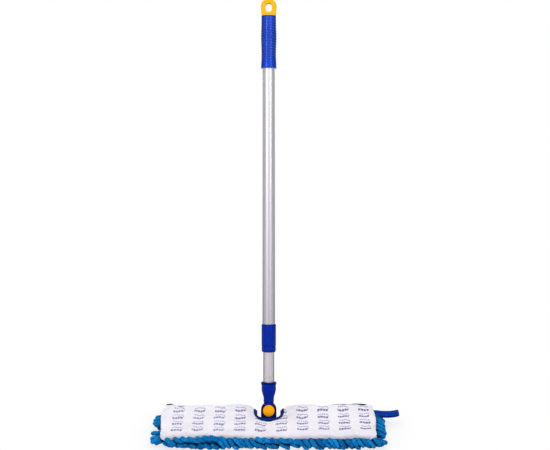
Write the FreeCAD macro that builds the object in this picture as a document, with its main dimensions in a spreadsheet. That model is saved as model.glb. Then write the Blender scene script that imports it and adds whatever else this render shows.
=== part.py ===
import FreeCAD, Part
import os
import math
import Sketcher
from FreeCAD import Vector, Rotation, Placement

# Flat mop with a two-sided sleeve pad, a two-axis joint and a telescopic twist-lock handle.
# Frame: +X along the pad (right), +Y towards the notched long edge (rear), +Z up.
# Origin: on the floor plane, on the pad's mid line, 10 mm in front of the root of the notch.
# The handle leans towards +Y. Its parts use a local frame: origin on the swivel axis, Z along it.

doc = FreeCAD.newDocument("flat_mop")
sheet = doc.addObject("Spreadsheet::Sheet", "sizes")

# Millimetres, except lean in degrees and ribCount. Base, Top, Up, Start, End, Low and High are
# heights: above the floor for the pad, along the handle from the swivel axis for the handle.
SIZES = {
    # soft pad
    "panelLength": 421.0, "panelDepth": 116.0, "panelCorner": 11.0, "padShift": 12.0,
    "panelBase": 15.6, "panelHeight": 14.4, "panelWall": 2.0, "panelRound": 4.0,
    "hollowCorner": 9.0,
    "notchHalf": 29.0, "notchBottom": 10.0, "notchCentre": 48.0, "notchMouth": 15.0,
    "notchClear": 0.1,
    "bindWidth": 4.6, "bindThick": 3.4, "bindTopBase": 24.9, "bindUnderBase": 10.4,
    "wadBase": 23.1, "wadThick": 4.6, "wadInset": 5.0, "wadCorner": 8.0,
    "wadNotchClear": 1.5, "wadMouth": 12.0,
    "backBase": 14.1, "backThick": 1.3, "backInset": 0.5,
    "noodleHeight": 13.9, "noodleRim": 18.6, "noodleSide": 17.0, "noodleFront": 9.0,
    "noodleRear": 5.0, "noodleCorner": 20.0, "seatClear": 0.6,
    "hemThick": 1.4, "hemHeight": 9.5, "hemInner": 48.0, "hemOuter": 203.0,
    "hemGap": 0.05, "hemRaise": 0.4,
    "tabLength": 49.0, "tabWide": 21.0, "tabThick": 3.4, "tabFront": 47.5, "tabBase": 19.0,
    "tabOverlap": 0.4,
    "tapeLength": 140.0, "tapeWide": 6.0, "tapeThick": 1.0, "tapeInner": 56.0,
    "tapeRaise": 0.3, "tapeStep": 1.1,
    # frame plate
    "plateBase": 15.8, "plateThick": 6.8, "plateInset": 6.0, "plateCorner": 10.0,
    "plateCellDepth": 4.0, "plateGapHalf": 15.7, "plateOpenHalf": 23.0,
    "lugRadius": 5.4, "lugLength": 5.6,
    # joint; the ear heights are measured from the tilt axis
    "lean": 22.0, "tiltPivotRear": 32.5, "tiltPivotUp": 19.2, "jointRise": 19.8,
    "earRadius": 15.3, "earInner": 6.5, "earOuter": 11.0, "earSeat": 1.0,
    "earShoulder": 10.5, "earFoot": 4.0, "earFootHalf": 12.6, "earBase": 2.5,
    "bridgeThick": 3.0, "blockBarrel": 8.2, "eyeClear": 0.6,
    "swivelPinRadius": 4.0, "tiltPinRadius": 2.5, "tiltPinExtra": 3.2, "runFit": 0.06,
    "capRadius": 11.2, "capRim": 1.6, "capDome": 2.6, "capClear": 0.15, "seatGap": 0.05,
    "clipThick": 0.8, "clipRadius": 5.0, "clipGap": 0.25,
    # handle; pushFit and slideFit are radial clearances
    "pushFit": 0.05, "slideFit": 0.08,
    "eyeRadius": 13.4, "tongueHalf": 6.2,
    "waistRadius": 10.25, "waistStart": 15.9, "waistEnd": 23.7, "socketFloor": 3.0,
    "socketRadius": 14.3, "socketBody": 38.5, "socketRimBase": 50.2, "socketTop": 55.5,
    "socketRim": 15.3, "tubeStep": 36.2, "screwRadius": 7.4, "screwBase": 19.0,
    "insertTop": 82.0, "insertBore": 2.5, "insertGroove": 1.2, "grooveHalf": 2.6,
    "lowerTubeRadius": 10.9, "lowerTubeWall": 0.9, "lowerTubeTop": 600.0,
    "dimpleUp": 65.4, "dimpleRadius": 2.2, "dimpleSide": 3.4, "dimpleOut": 0.75,
    "upperTubeRadius": 12.5, "upperTubeWall": 0.9, "upperTubeBase": 127.5,
    "upperTubeTop": 779.5,
    "collarRadius": 14.3, "collarTop": 170.5, "ringBase": 115.0, "ringTop": 125.5,
    "bushBase": 129.0, "bushTop": 151.0,
    "plugBase": 576.0, "plugFlange": 3.0, "studRadius": 3.0, "studSink": 4.0, "studTop": 652.0,
    "studHeadExtra": 1.6, "studHeadThick": 4.0,
    "coneBase": 612.0, "coneTop": 640.0, "coneRadius": 7.6,
    "expanderBase": 609.0, "expanderTop": 643.0, "splitWide": 3.0, "splitRaise": 7.0,
    "gripBase": 677.1, "gripTop": 781.4, "gripLip": 14.0,
    "ribPitch": 5.26, "ribDepth": 0.5, "ribStart": 694.5, "ribCount": 16,
    "hangerGap": 0.15, "hangerTop": 815.4, "hangerHalf": 15.5, "hangerBaseHalf": 14.3,
    "hangerThick": 15.0, "hangerPlug": 18.0, "hangerRound": 4.6, "hangerDisc": 3.2,
    "eyeSlotHalf": 6.15, "eyeSlotLow": 788.8, "eyeSlotHigh": 806.4,
}
for row, (alias, value) in enumerate(SIZES.items(), start=1):
    sheet.set("A%d" % row, alias)
    sheet.set("B%d" % row, str(value))
    sheet.setAlias("B%d" % row, alias)
doc.recompute()


def size(alias):
    return float(getattr(sheet, alias))


HALF = size("panelLength") / 2
REAR = size("panelDepth") / 2 + size("padShift")
FRONT = -size("panelDepth") / 2 + size("padShift")
GAP, NOTCH_ROOT = size("notchHalf"), size("notchBottom")
NOTCH_CENTRE, MOUTH = size("notchCentre"), size("notchMouth")
CLOTH_NOTCH = (GAP + size("notchClear"), NOTCH_ROOT - size("notchClear"), MOUTH)
LUG_END = size("plateGapHalf") + size("lugLength")
SEAT_FLOOR = size("earOuter") - size("earSeat")
RISE = size("jointRise")

LEAN = math.radians(size("lean"))
TURN = Rotation(Vector(1, 0, 0), -size("lean"))
TILT = Vector(0, size("tiltPivotRear"), size("tiltPivotUp"))
SWIVEL = TILT + Vector(0, math.sin(LEAN), math.cos(LEAN)) * RISE
AXIS_X = Rotation(Vector(0, 1, 0), 90)       # lays a cylinder along +X
AXIS_Y = Rotation(Vector(1, 0, 0), -90)      # lays a cylinder along local +Y

LOWER_BORE = "sizes.lowerTubeRadius - sizes.lowerTubeWall"
UPPER_BORE = "sizes.upperTubeRadius - sizes.upperTubeWall"
LOWER_PLUG = LOWER_BORE + " - sizes.pushFit"
OVER_LOWER = "sizes.lowerTubeRadius + sizes.slideFit"
OVER_UPPER = "sizes.upperTubeRadius + sizes.pushFit"


# ---------------------------------------------------------------- curves
def path(points):
    # open run of straight lines through the points
    return [Part.LineSegment(Vector(x1, y1, 0), Vector(x2, y2, 0))
            for (x1, y1), (x2, y2) in zip(points, points[1:])]


def corner_arc(x, y, radius, start):
    # quarter circle, counter-clockwise from the start angle
    circle = Part.Circle(Vector(x, y, 0), Vector(0, 0, 1), radius)
    return Part.ArcOfCircle(circle, math.radians(start), math.radians(start + 90))


def notch_root(gap, bottom):
    # front half of an ellipse, from its left end round the root to its right end
    centre = Vector(0, NOTCH_CENTRE, 0)
    right, left = Vector(gap, NOTCH_CENTRE, 0), Vector(-gap, NOTCH_CENTRE, 0)
    ellipse = Part.Ellipse(Vector(0, bottom, 0), right, centre)
    return Part.ArcOfEllipse(ellipse, ellipse.parameter(left), ellipse.parameter(right))


def outline(half, front, rear, corner, notch=None):
    # rounded rectangle; notch = (half width, root y, mouth radius) opens a U in the rear edge
    right, left = half - corner, -half + corner
    low, high = front + corner, rear - corner
    if notch is None:
        rear_edge = path([(right, rear), (left, rear)])
    else:
        gap, bottom, mouth = notch
        lip = rear - mouth
        rear_edge = (
            path([(right, rear), (gap + mouth, rear)])
            + [corner_arc(gap + mouth, lip, mouth, 90)]
            + path([(gap, lip), (gap, NOTCH_CENTRE)])
            + [notch_root(gap, bottom)]
            + path([(-gap, NOTCH_CENTRE), (-gap, lip)])
            + [corner_arc(-gap - mouth, lip, mouth, 0)]
            + path([(-gap - mouth, rear), (left, rear)])
        )
    return (
        path([(left, front), (right, front)]) + [corner_arc(right, low, corner, 270)]
        + path([(half, low), (half, high)]) + [corner_arc(right, high, corner, 0)]
        + rear_edge + [corner_arc(left, high, corner, 90)]
        + path([(-half, high), (-half, low)]) + [corner_arc(left, low, corner, 180)]
    )


# ---------------------------------------------------------------- bodies
def new_body(label):
    body = doc.addObject("PartDesign::Body", label)
    body.Label = label
    return body


def new_sketch(body, name, role):
    sketch = body.newObject("Sketcher::SketchObject", name)
    plane = next(f for f in body.Origin.OriginFeatures if f.Role == role)
    sketch.AttachmentSupport = [(plane, "")]
    sketch.MapMode = "FlatFace"
    return sketch


def fixed_sketch(body, name, role, curves):
    # sketch whose curves are blocked where they are drawn
    sketch = new_sketch(body, name, role)
    for curve in curves:
        sketch.addGeometry(curve, False)
    for i in range(len(curves)):
        sketch.addConstraint(Sketcher.Constraint("Block", i))
    return sketch


def number(expression):
    # value of an expression of numbers, sheet aliases, + - * / and brackets
    text = expression
    for alias in sorted(SIZES, key=len, reverse=True):
        text = text.replace("sizes." + alias, "(%r)" % size(alias))
    return float(FreeCAD.Units.parseQuantity(text).Value)


def bound_polygon(body, name, points):
    # closed XZ outline; each corner is held by two distances bound to the sheet
    sketch = new_sketch(body, name, "XZ_Plane")
    corners = [(number(x), number(y)) for x, y in points]
    for line in path(corners + corners[:1]):
        sketch.addGeometry(line, False)
    for i in range(len(points)):
        sketch.addConstraint(Sketcher.Constraint("Coincident", i, 2, (i + 1) % len(points), 1))
    for i, (expressions, values) in enumerate(zip(points, corners)):
        # an ordinate of zero puts the corner on the axis: -2 is vertical, -1 horizontal
        for kind, text, place, axis in zip(("DistanceX", "DistanceY"), expressions, values, (-2, -1)):
            if abs(place) < 1e-9:
                sketch.addConstraint(Sketcher.Constraint("PointOnObject", i, 1, axis))
                continue
            index = sketch.addConstraint(Sketcher.Constraint(kind, -1, 1, i, 1, place))
            if "sizes." in text:
                sketch.setExpression("Constraints[%d]" % index, text)
    return sketch


def revolve(body, sketch, name):
    turned = body.newObject("PartDesign::Revolution", name)
    turned.Profile = sketch
    turned.ReferenceAxis = (sketch, ["V_Axis"])
    turned.Angle = 360.0
    sketch.Visibility = False
    body.Tip = turned


def extrude(body, sketch, name, length, midplane=False):
    pad = body.newObject("PartDesign::Pad", name)
    pad.Profile = sketch
    pad.setExpression("Length", length)
    pad.Midplane = midplane
    sketch.Visibility = False
    body.Tip = pad
    return pad


def soften(body, name, base, is_rounded):
    # fillet on the edges of the base feature whose bounding box passes the test
    doc.recompute()
    fillet = body.newObject("PartDesign::Fillet", name)
    edges = enumerate(base.Shape.Edges, start=1)
    fillet.Base = (base, ["Edge%d" % i for i, edge in edges if is_rounded(edge.BoundBox)])
    body.Tip = fillet
    return fillet


def flat(label, curves, base, thickness):
    # slab lying flat, its base height and thickness given as expressions
    body = new_body(label)
    sketch = fixed_sketch(body, label + "_outline", "XY_Plane", curves)
    extrude(body, sketch, label + "_slab", thickness)
    body.setExpression("Placement.Base.z", base)
    return body


# ---------------------------------------------------------------- primitives and booleans
def add_primitive(kind, name, **dimensions):
    # text dimensions are bound to the sheet
    primitive = doc.addObject(kind, name)
    for prop, dimension in dimensions.items():
        if isinstance(dimension, str):
            primitive.setExpression(prop, dimension)
        else:
            setattr(primitive, prop, dimension)
    return primitive


def cylinder(name, radius, height):
    return add_primitive("Part::Cylinder", name, Radius=radius, Height=height)


def box(name, length, width, height, corner=(0, 0, 0)):
    block = add_primitive("Part::Box", name, Length=length, Width=width, Height=height)
    block.Placement = Placement(Vector(*corner), Rotation())
    return block


def cut(name, base, tool):
    result = doc.addObject("Part::Cut", name)
    result.Base, result.Tool = base, tool
    return result


def fuse(name, shapes):
    result = doc.addObject("Part::MultiFuse", name)
    result.Shapes = shapes
    result.Refine = True
    return result


def compound(name, links):
    result = doc.addObject("Part::Compound", name)
    result.Links = links
    return result


# ---------------------------------------------------------------- placing
def side_start(side, near, length):
    # lower end of a span that begins at distance near from the mid plane, on the given side
    return near if side > 0 else -near - length


def side_name(side):
    return "left" if side < 0 else "right"


def on_tilt_axis(part, x):
    part.Placement = Placement(Vector(x, TILT.y, TILT.z), AXIS_X)
    return part


def on_handle(part):
    # handle frame, kept bound to the sheet
    part.Placement = Placement(SWIVEL, TURN)
    part.setExpression("Placement.Base.y",
                       "sizes.tiltPivotRear + sizes.jointRise * sin(sizes.lean * 1 deg)")
    part.setExpression("Placement.Base.z",
                       "sizes.tiltPivotUp + sizes.jointRise * cos(sizes.lean * 1 deg)")
    return part


def at_handle(part, x, y, z, spin=Rotation()):
    # position and turn given in the handle frame
    part.Placement = Placement(SWIVEL + TURN.multVec(Vector(x, y, z)), TURN.multiply(spin))
    return part


def handle_turned(label, points):
    # solid of revolution round the handle axis; points are (radius, height) expressions
    body = new_body(label)
    revolve(body, bound_polygon(body, label + "_profile", points), label + "_turned")
    return on_handle(body)


# ---------------------------------------------------------------- soft pad
def upper_cloth():
    # shallow tray turned down over the core, open along the notch
    curves = outline(HALF, FRONT, REAR, size("panelCorner"), CLOTH_NOTCH)
    shell = flat("upper_cloth_outer", curves, "sizes.panelBase", "sizes.panelHeight")
    slab = shell.Tip

    def is_top(bounds):
        return bounds.ZMin > slab.Shape.BoundBox.ZMax - 1e-6

    rounding = soften(shell, "upper_cloth_rounding", slab, is_top)
    rounding.setExpression("Radius", "sizes.panelRound")
    wall = size("panelWall")
    hollow = flat("upper_cloth_hollow",
                  outline(HALF - wall, FRONT + wall, REAR - wall, size("hollowCorner")),
                  "sizes.panelBase - 1", "sizes.panelHeight - sizes.panelWall + 1")
    return cut("upper_cloth", shell, hollow)


def wadding():
    inset, clear = size("wadInset"), size("wadNotchClear")
    curves = outline(HALF - inset, FRONT + inset, REAR - inset, size("wadCorner"),
                     (GAP + clear, NOTCH_ROOT - clear, size("wadMouth")))
    return flat("wadding", curves, "sizes.wadBase", "sizes.wadThick")


def lower_cloth():
    inset = size("backInset")
    curves = outline(HALF - inset, FRONT + inset, REAR - inset, size("panelCorner"), CLOTH_NOTCH)
    return flat("lower_cloth", curves, "sizes.backBase", "sizes.backThick")


def chenille_pile():
    # closed cushion under the lower cloth, standing up round the front and the two ends
    gap, bottom, mouth = CLOTH_NOTCH
    curves = outline(HALF + size("noodleSide"), FRONT - size("noodleFront"),
                     REAR + size("noodleRear"), size("noodleCorner"), (gap, bottom, mouth + 3))
    pile = flat("chenille_block", curves, "0.0", "sizes.noodleRim")
    clear = size("seatClear")
    seat = flat("chenille_seat",
                outline(HALF + clear, FRONT - clear, REAR + 30.0, size("panelCorner")),
                "sizes.noodleHeight", "20.0")
    return cut("chenille_pile", pile, seat)


def notch_binding(label, base):
    # band of constant width along the inside of the notch
    inner, lip = GAP - size("bindWidth"), REAR - MOUTH
    curves = (
        [notch_root(GAP, NOTCH_ROOT)]
        + path([(GAP, NOTCH_CENTRE), (GAP, lip), (inner, lip), (inner, NOTCH_CENTRE)])
        + [notch_root(inner, NOTCH_ROOT + size("bindWidth"))]
        + path([(-inner, NOTCH_CENTRE), (-inner, lip), (-GAP, lip), (-GAP, NOTCH_CENTRE)])
    )
    return flat(label, curves, base, "sizes.bindThick")


def rear_hem():
    # one length along the rear edge on each side of the notch
    length = size("hemOuter") - size("hemInner")
    return compound("rear_hem", [
        box("hem_" + side_name(side),
            "sizes.hemOuter - sizes.hemInner", "sizes.hemThick", "sizes.hemHeight",
            (side_start(side, size("hemInner"), length), REAR + size("hemGap"),
             size("panelBase") + size("hemRaise")))
        for side in (-1, 1)])


def pull_tab():
    # webbing tab at the right-hand end, bent upwards towards its tip; points are (x, z)
    tab = new_body("pull_tab")
    sketch = bound_polygon(tab, "pull_tab_side", [
        ("1", "0"),
        ("sizes.tabLength - 6", "2.2"),
        ("sizes.tabLength", "3.4"),
        ("sizes.tabLength + 1", "3.4 + sizes.tabThick / 2"),
        ("sizes.tabLength", "3.4 + sizes.tabThick"),
        ("sizes.tabLength - 6", "2.2 + sizes.tabThick"),
        ("1", "sizes.tabThick"),
    ])
    extrude(tab, sketch, "pull_tab_strip", "sizes.tabWide").Reversed = True
    corner = Vector(HALF - size("tabOverlap"), size("tabFront"), size("tabBase"))
    tab.Placement = Placement(corner, Rotation())
    return tab


def closure_tapes(label, rise):
    # a pair of tapes inside the rear edge
    return compound(label, [
        box("%s_%s" % (label, side_name(side)),
            "sizes.tapeLength", "sizes.tapeWide - 3", "sizes.tapeThick",
            (side_start(side, size("tapeInner"), size("tapeLength")),
             REAR - size("panelWall") - 3.5, size("panelBase") + size("tapeRaise") + rise))
        for side in (-1, 1)])


# ---------------------------------------------------------------- frame plate with hinge lugs
# spans of the open cells: x, then y measured from the panel's middle
CELL_COLUMNS = [(-198.0, -152.0), (-146.0, -100.0), (-94.0, -46.0),
                (46.0, 94.0), (100.0, 146.0), (152.0, 198.0)]
CELL_ROWS = [(-48.0, -4.0), (2.0, 48.0)]
CLIP_ROOM = (12.0, 14.0, 30.0)      # length, width, height cleared outside each lug


def plate_cells():
    floor = size("plateBase") + size("plateThick") - size("plateCellDepth")
    return [
        box("cell_%d_%d" % (i, j), x1 - x0, y1 - y0, "sizes.plateCellDepth + 1",
            (x0, y0 + size("padShift"), floor))
        for i, (x0, x1) in enumerate(CELL_COLUMNS)
        for j, (y0, y1) in enumerate(CELL_ROWS)]


def frame_plate():
    inset = size("plateInset")
    slab = flat("frame_slab",
                outline(HALF - inset, FRONT + inset, REAR - inset, size("plateCorner")),
                "sizes.plateBase", "sizes.plateThick")
    narrow = box("frame_slot_narrow", "sizes.plateGapHalf * 2", 60, 30,
                 (-size("plateGapHalf"), NOTCH_ROOT + 7.4, 0))
    wide = box("frame_slot_wide", "sizes.plateOpenHalf * 2", 60, 30,
               (-size("plateOpenHalf"), TILT.y + size("lugRadius") + 0.6, 0))
    lugs, clip_rooms = [], []
    for side in (-1, 1):
        lug = cylinder("frame_lug_" + side_name(side), "sizes.lugRadius", "sizes.lugLength")
        x = side_start(side, size("plateGapHalf"), size("lugLength"))
        lugs.append(on_tilt_axis(lug, x))
        length, width, height = CLIP_ROOM
        clip_rooms.append(box("clip_room_" + side_name(side), length, width, height,
                              (side_start(side, LUG_END, length), TILT.y - width / 2, 0)))
    bore = on_tilt_axis(
        cylinder("frame_pin_bore", "sizes.tiltPinRadius + sizes.runFit / 2", 64.0), -32)
    plate = cut("plate_a", slab, narrow)
    plate = cut("plate_b", plate, wide)
    plate = cut("plate_c", plate, compound("cells", plate_cells() + clip_rooms))
    plate = fuse("plate_d", [plate] + lugs)
    return cut("frame_plate", plate, bore)


def tilt_pin():
    pin = cylinder("tilt_pin", "sizes.tiltPinRadius",
                   "2 * (sizes.plateGapHalf + sizes.lugLength) + sizes.tiltPinExtra")
    return on_tilt_axis(pin, -LUG_END - size("tiltPinExtra") / 2)


def tilt_pin_clips():
    # a washer-shaped clip just outside each lug
    clips = []
    for side in (-1, 1):
        x = side_start(side, LUG_END + size("clipGap"), size("clipThick"))
        disc = cylinder("clip_disc_%d" % (side + 1), "sizes.clipRadius - 0.6", "sizes.clipThick")
        hole = cylinder("clip_hole_%d" % (side + 1), "sizes.tiltPinRadius + 0.02",
                        "sizes.clipThick + 2")
        clips.append(cut("clip_%d" % (side + 1), on_tilt_axis(disc, x),
                         on_tilt_axis(hole, x - 1)))
    return compound("tilt_pin_clips", clips)


# ---------------------------------------------------------------- swivel joint
def fork_ear(side):
    # tombstone plate: round head about the swivel axis, straight sides, drawn in at the foot
    ear = new_body("ear_front" if side < 0 else "ear_rear")
    radius, foot_half = size("earRadius"), size("earFootHalf")
    shoulder, foot, base = (size(name) - RISE for name in ("earShoulder", "earFoot", "earBase"))
    head = Part.Arc(Vector(radius, 0, 0), Vector(0, radius, 0), Vector(-radius, 0, 0))
    curves = [head] + path([
        (-radius, 0), (-radius, shoulder), (-foot_half, foot), (-foot_half, base),
        (foot_half, base), (foot_half, foot), (radius, shoulder), (radius, 0)])
    sketch = fixed_sketch(ear, "ear_outline_%d" % (side + 1), "XZ_Plane", curves)
    extrude(ear, sketch, "ear_plate_%d" % (side + 1), "sizes.earOuter - sizes.earInner",
            midplane=True)
    return at_handle(ear, 0, side * (size("earOuter") + size("earInner")) / 2, 0)


def swivel_block():
    # fork of two ears on a barrel round the tilt axis
    ears = [fork_ear(side) for side in (-1, 1)]
    bridge = box("block_bridge", "2 * sizes.earFootHalf", "2 * sizes.earOuter",
                 "sizes.bridgeThick")
    at_handle(bridge, -size("earFootHalf"), -size("earOuter"), size("earBase") - RISE)
    barrel = cylinder("block_barrel", "sizes.blockBarrel", "2 * sizes.earRadius")
    at_handle(barrel, -size("earRadius"), 0, -RISE, AXIS_X)
    trough = cylinder("block_trough", "sizes.eyeRadius + sizes.eyeClear", "2 * sizes.earInner")
    at_handle(trough, 0, -size("earInner"), 0, AXIS_Y)
    block = fuse("block_a", ears + [bridge, barrel])
    block = cut("block_b", block, trough)

    pin_hole = cylinder("block_pin_hole", "sizes.swivelPinRadius + sizes.runFit / 2", 40.0)
    at_handle(pin_hole, 0, -20, 0, AXIS_Y)
    tilt_hole = cylinder("block_tilt_hole", "sizes.tiltPinRadius + sizes.runFit", 60.0)
    at_handle(tilt_hole, -30, 0, -RISE, AXIS_X)
    seat_length = 5.0
    seats = [
        at_handle(cylinder("cap_seat_%d" % (side + 1), "sizes.capRadius + sizes.capClear",
                           seat_length),
                  0, side_start(side, SEAT_FLOOR, seat_length), 0, AXIS_Y)
        for side in (-1, 1)]
    return cut("swivel_block", block, compound("block_holes", [pin_hole, tilt_hole] + seats))


def swivel_pin():
    pin = cylinder("swivel_pin", "sizes.swivelPinRadius",
                   "2 * (sizes.earOuter - sizes.earSeat - sizes.seatGap)")
    return at_handle(pin, 0, size("seatGap") - SEAT_FLOOR, 0, AXIS_Y)


def pin_cap(label, side):
    # disc with a straight rim and a shallow spherical dome facing outwards
    radius, rim, dome = size("capRadius"), size("capRim"), size("capDome")
    ball = (radius * radius + dome * dome) / (2 * dome)
    half_angle = math.asin(radius / ball) / 2
    top = rim + dome
    dome_arc = Part.Arc(
        Vector(radius, rim, 0),
        Vector(ball * math.sin(half_angle), top - ball + ball * math.cos(half_angle), 0),
        Vector(0, top, 0))
    curves = path([(0, 0), (radius, 0), (radius, rim)]) + [dome_arc] + path([(0, top), (0, 0)])
    body = new_body(label)
    sketch = fixed_sketch(body, label + "_profile", "XZ_Plane", curves)
    revolve(body, sketch, label + "_turned")
    return at_handle(body, 0, (SEAT_FLOOR + size("seatGap")) * side, 0,
                     Rotation(Vector(1, 0, 0), -90 * side))


# ---------------------------------------------------------------- handle socket
def handle_socket():
    # cup for the tube on a waist, with a flat tongue and an eye round the swivel pin
    tube_bore = "sizes.lowerTubeRadius + sizes.pushFit"
    screw_bore = "sizes.screwRadius + 0.1"
    floor = "sizes.waistStart + sizes.socketFloor"
    cup = handle_turned("socket_turned", [
        (screw_bore, floor), (screw_bore, "sizes.tubeStep"),
        (tube_bore, "sizes.tubeStep"), (tube_bore, "sizes.socketTop"),
        ("sizes.socketRim - 0.7", "sizes.socketTop"),
        ("sizes.socketRim", "sizes.socketTop - 0.9"),
        ("sizes.socketRim", "sizes.socketRimBase + 1.2"),
        ("sizes.socketRadius", "sizes.socketRimBase"),
        ("sizes.socketRadius", "sizes.socketBody + 2.0"),
        ("sizes.socketRadius - 0.5", "sizes.socketBody - 1.0"),
        ("12.4", "31.8"), ("11.1", "27.8"), ("10.45", "25.0"),
        ("sizes.waistRadius", "sizes.waistEnd"), ("sizes.waistRadius", "sizes.waistStart"),
        ("1.0", "sizes.waistStart"), ("1.0", floor),
    ])
    # fills the 1 mm hole left round the axis in the cup's floor
    core = cylinder("socket_core", 2.0, "sizes.socketFloor")
    at_handle(core, 0, 0, size("waistStart"))
    eye = cylinder("socket_eye", "sizes.eyeRadius", "2 * sizes.tongueHalf")
    at_handle(eye, 0, -size("tongueHalf"), 0, AXIS_Y)
    tongue = box("socket_tongue", "2 * sizes.waistRadius - 1.2", "2 * sizes.tongueHalf",
                 "sizes.waistStart + 0.6")
    at_handle(tongue, -size("waistRadius") + 0.6, -size("tongueHalf"), 0)
    socket = fuse("socket_a", [cup, core, eye, tongue])
    eye_hole = cylinder("socket_eye_hole", "sizes.swivelPinRadius + sizes.runFit", 30.0)
    at_handle(eye_hole, 0, -15, 0, AXIS_Y)
    return cut("handle_socket", socket, eye_hole)


# ---------------------------------------------------------------- tubes and fittings
def tube_insert():
    # spigot in the socket below, plug in the lower tube above, with a groove at the dimple
    groove = LOWER_BORE + " - sizes.insertGroove"
    groove_low = "sizes.dimpleUp - sizes.grooveHalf"
    groove_high = "sizes.dimpleUp + sizes.grooveHalf"
    return handle_turned("tube_insert", [
        ("sizes.insertBore", "sizes.screwBase + 0.2"),
        ("sizes.screwRadius - 1.2", "sizes.screwBase + 0.2"),
        ("sizes.screwRadius", "sizes.screwBase + 2.0"),
        ("sizes.screwRadius", "sizes.tubeStep + 0.15"),
        (LOWER_PLUG, "sizes.tubeStep + 0.15"), (LOWER_PLUG, groove_low),
        (groove, groove_low), (groove, groove_high),
        (LOWER_PLUG, groove_high), (LOWER_PLUG, "sizes.insertTop"),
        ("sizes.insertBore", "sizes.insertTop"),
    ])


def plain_tube(label, bore, radius, base, top):
    return handle_turned(label, [(bore, base), (radius, base), (radius, top), (bore, top)])


def lower_tube():
    tube = plain_tube("lower_tube_plain", LOWER_BORE, "sizes.lowerTubeRadius",
                      "sizes.tubeStep + 0.2", "sizes.lowerTubeTop")
    dimple = add_primitive("Part::Sphere", "crimp_dimple", Radius="sizes.dimpleRadius")
    at_handle(dimple, size("dimpleSide"), -size("lowerTubeRadius") - size("dimpleOut"),
              size("dimpleUp"))
    return cut("lower_tube", tube, dimple)


def upper_tube():
    return plain_tube("upper_tube", UPPER_BORE, "sizes.upperTubeRadius",
                      "sizes.upperTubeBase", "sizes.upperTubeTop")


def lock_collar():
    return handle_turned("lock_collar", [
        (OVER_UPPER, "sizes.upperTubeBase - 0.2"),
        ("sizes.collarRadius - 0.45", "sizes.upperTubeBase - 0.2"),
        ("sizes.collarRadius", "sizes.upperTubeBase + 0.4"),
        ("sizes.collarRadius", "sizes.collarTop - 1.2"),
        ("sizes.collarRadius - 0.5", "sizes.collarTop - 0.3"),
        ("sizes.collarRadius - 0.9", "sizes.collarTop"),
        (OVER_UPPER, "sizes.collarTop"),
    ])


def collar_end_ring():
    return handle_turned("collar_end_ring", [
        (OVER_LOWER, "sizes.ringBase"),
        ("sizes.collarRadius - 2.2", "sizes.ringBase"),
        ("sizes.collarRadius - 1.1", "sizes.ringBase + 0.8"),
        ("sizes.collarRadius - 0.45", "sizes.ringBase + 2.2"),
        ("sizes.collarRadius - 0.25", "sizes.ringBase + 4.5"),
        ("sizes.collarRadius - 0.15", "sizes.ringTop - 0.6"),
        ("sizes.collarRadius - 0.6", "sizes.ringTop"),
        ("sizes.collarRadius - 0.6", "sizes.ringTop + 1.5"),
        (OVER_LOWER, "sizes.ringTop + 1.5"),
    ])


def guide_bush():
    return plain_tube("guide_bush", OVER_LOWER, UPPER_BORE + " - 0.04",
                      "sizes.bushBase", "sizes.bushTop")


# ---------------------------------------------------------------- twist lock inside the tubes
def lock_plug():
    # sits in the top of the lower tube, its flange on the tube's end
    bore = "sizes.studRadius + sizes.pushFit"
    flange_base = "sizes.lowerTubeTop + 0.1"
    flange_top = "sizes.lowerTubeTop + sizes.plugFlange"
    return handle_turned("lock_plug", [
        (bore, "sizes.plugBase"), (LOWER_PLUG, "sizes.plugBase"), (LOWER_PLUG, flange_base),
        ("sizes.lowerTubeRadius", flange_base), ("sizes.lowerTubeRadius", flange_top),
        (bore, flange_top),
    ])


def lock_stud():
    # stem with a cone widening upwards and a head above it
    stem = cylinder("stud_stem", "sizes.studRadius",
                    "sizes.studTop - sizes.plugBase - sizes.studSink")
    at_handle(stem, 0, 0, size("plugBase") + size("studSink"))
    cone = add_primitive("Part::Cone", "stud_cone", Radius1="sizes.studRadius",
                         Radius2="sizes.coneRadius", Height="sizes.coneTop - sizes.coneBase")
    at_handle(cone, 0, 0, size("coneBase"))
    head = cylinder("stud_head", "sizes.coneRadius + sizes.studHeadExtra", "sizes.studHeadThick")
    at_handle(head, 0, 0, size("studTop") - size("studHeadThick"))
    return fuse("lock_stud", [stem, cone, head])


def lock_expander():
    # sleeve round the cone, split on its front side
    outer = UPPER_BORE + " - 0.06"
    bore = "sizes.studRadius + sizes.slideFit"
    sleeve = handle_turned("expander_turned", [
        (bore, "sizes.expanderBase"), (UPPER_BORE + " - 1.2", "sizes.expanderBase"),
        (outer, "sizes.expanderBase + 2"), (outer, "sizes.expanderTop - 1"),
        (UPPER_BORE + " - 0.8", "sizes.expanderTop"),
        ("sizes.coneRadius + 0.7", "sizes.expanderTop"),
        ("sizes.coneRadius + 0.35", "sizes.coneTop"),
        ("sizes.studRadius + 0.45", "sizes.coneBase"),
        (bore, "sizes.coneBase - 0.6"),
    ])
    split = box("expander_split", "sizes.splitWide", 14.0, 60.0)
    at_handle(split, -size("splitWide") / 2, -14.0, size("expanderBase") + size("splitRaise"))
    return cut("lock_expander", sleeve, split)


# ---------------------------------------------------------------- grip
# swelling of the grip: height above its base, radius
GRIP_STATIONS = [
    (0.0, 15.0), (1.2, 15.45), (3.5, 15.45), (9.0, 15.15), (16.0, 14.85), (22.5, 14.62),
    (29.0, 14.55), (37.0, 14.72), (45.0, 14.98), (52.5, 15.28), (60.0, 15.45), (67.5, 15.35),
    (75.0, 15.05), (83.0, 14.78), (92.0, 14.62), (103.0, 14.5),
    (size("gripTop") - size("gripBase"), 14.1),
]
PLAIN_HEIGHTS = [0.0, 1.2, 3.5, 9.0, 13.5]      # profile points below the first groove
GROOVE_WIDE = 1.4
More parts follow.
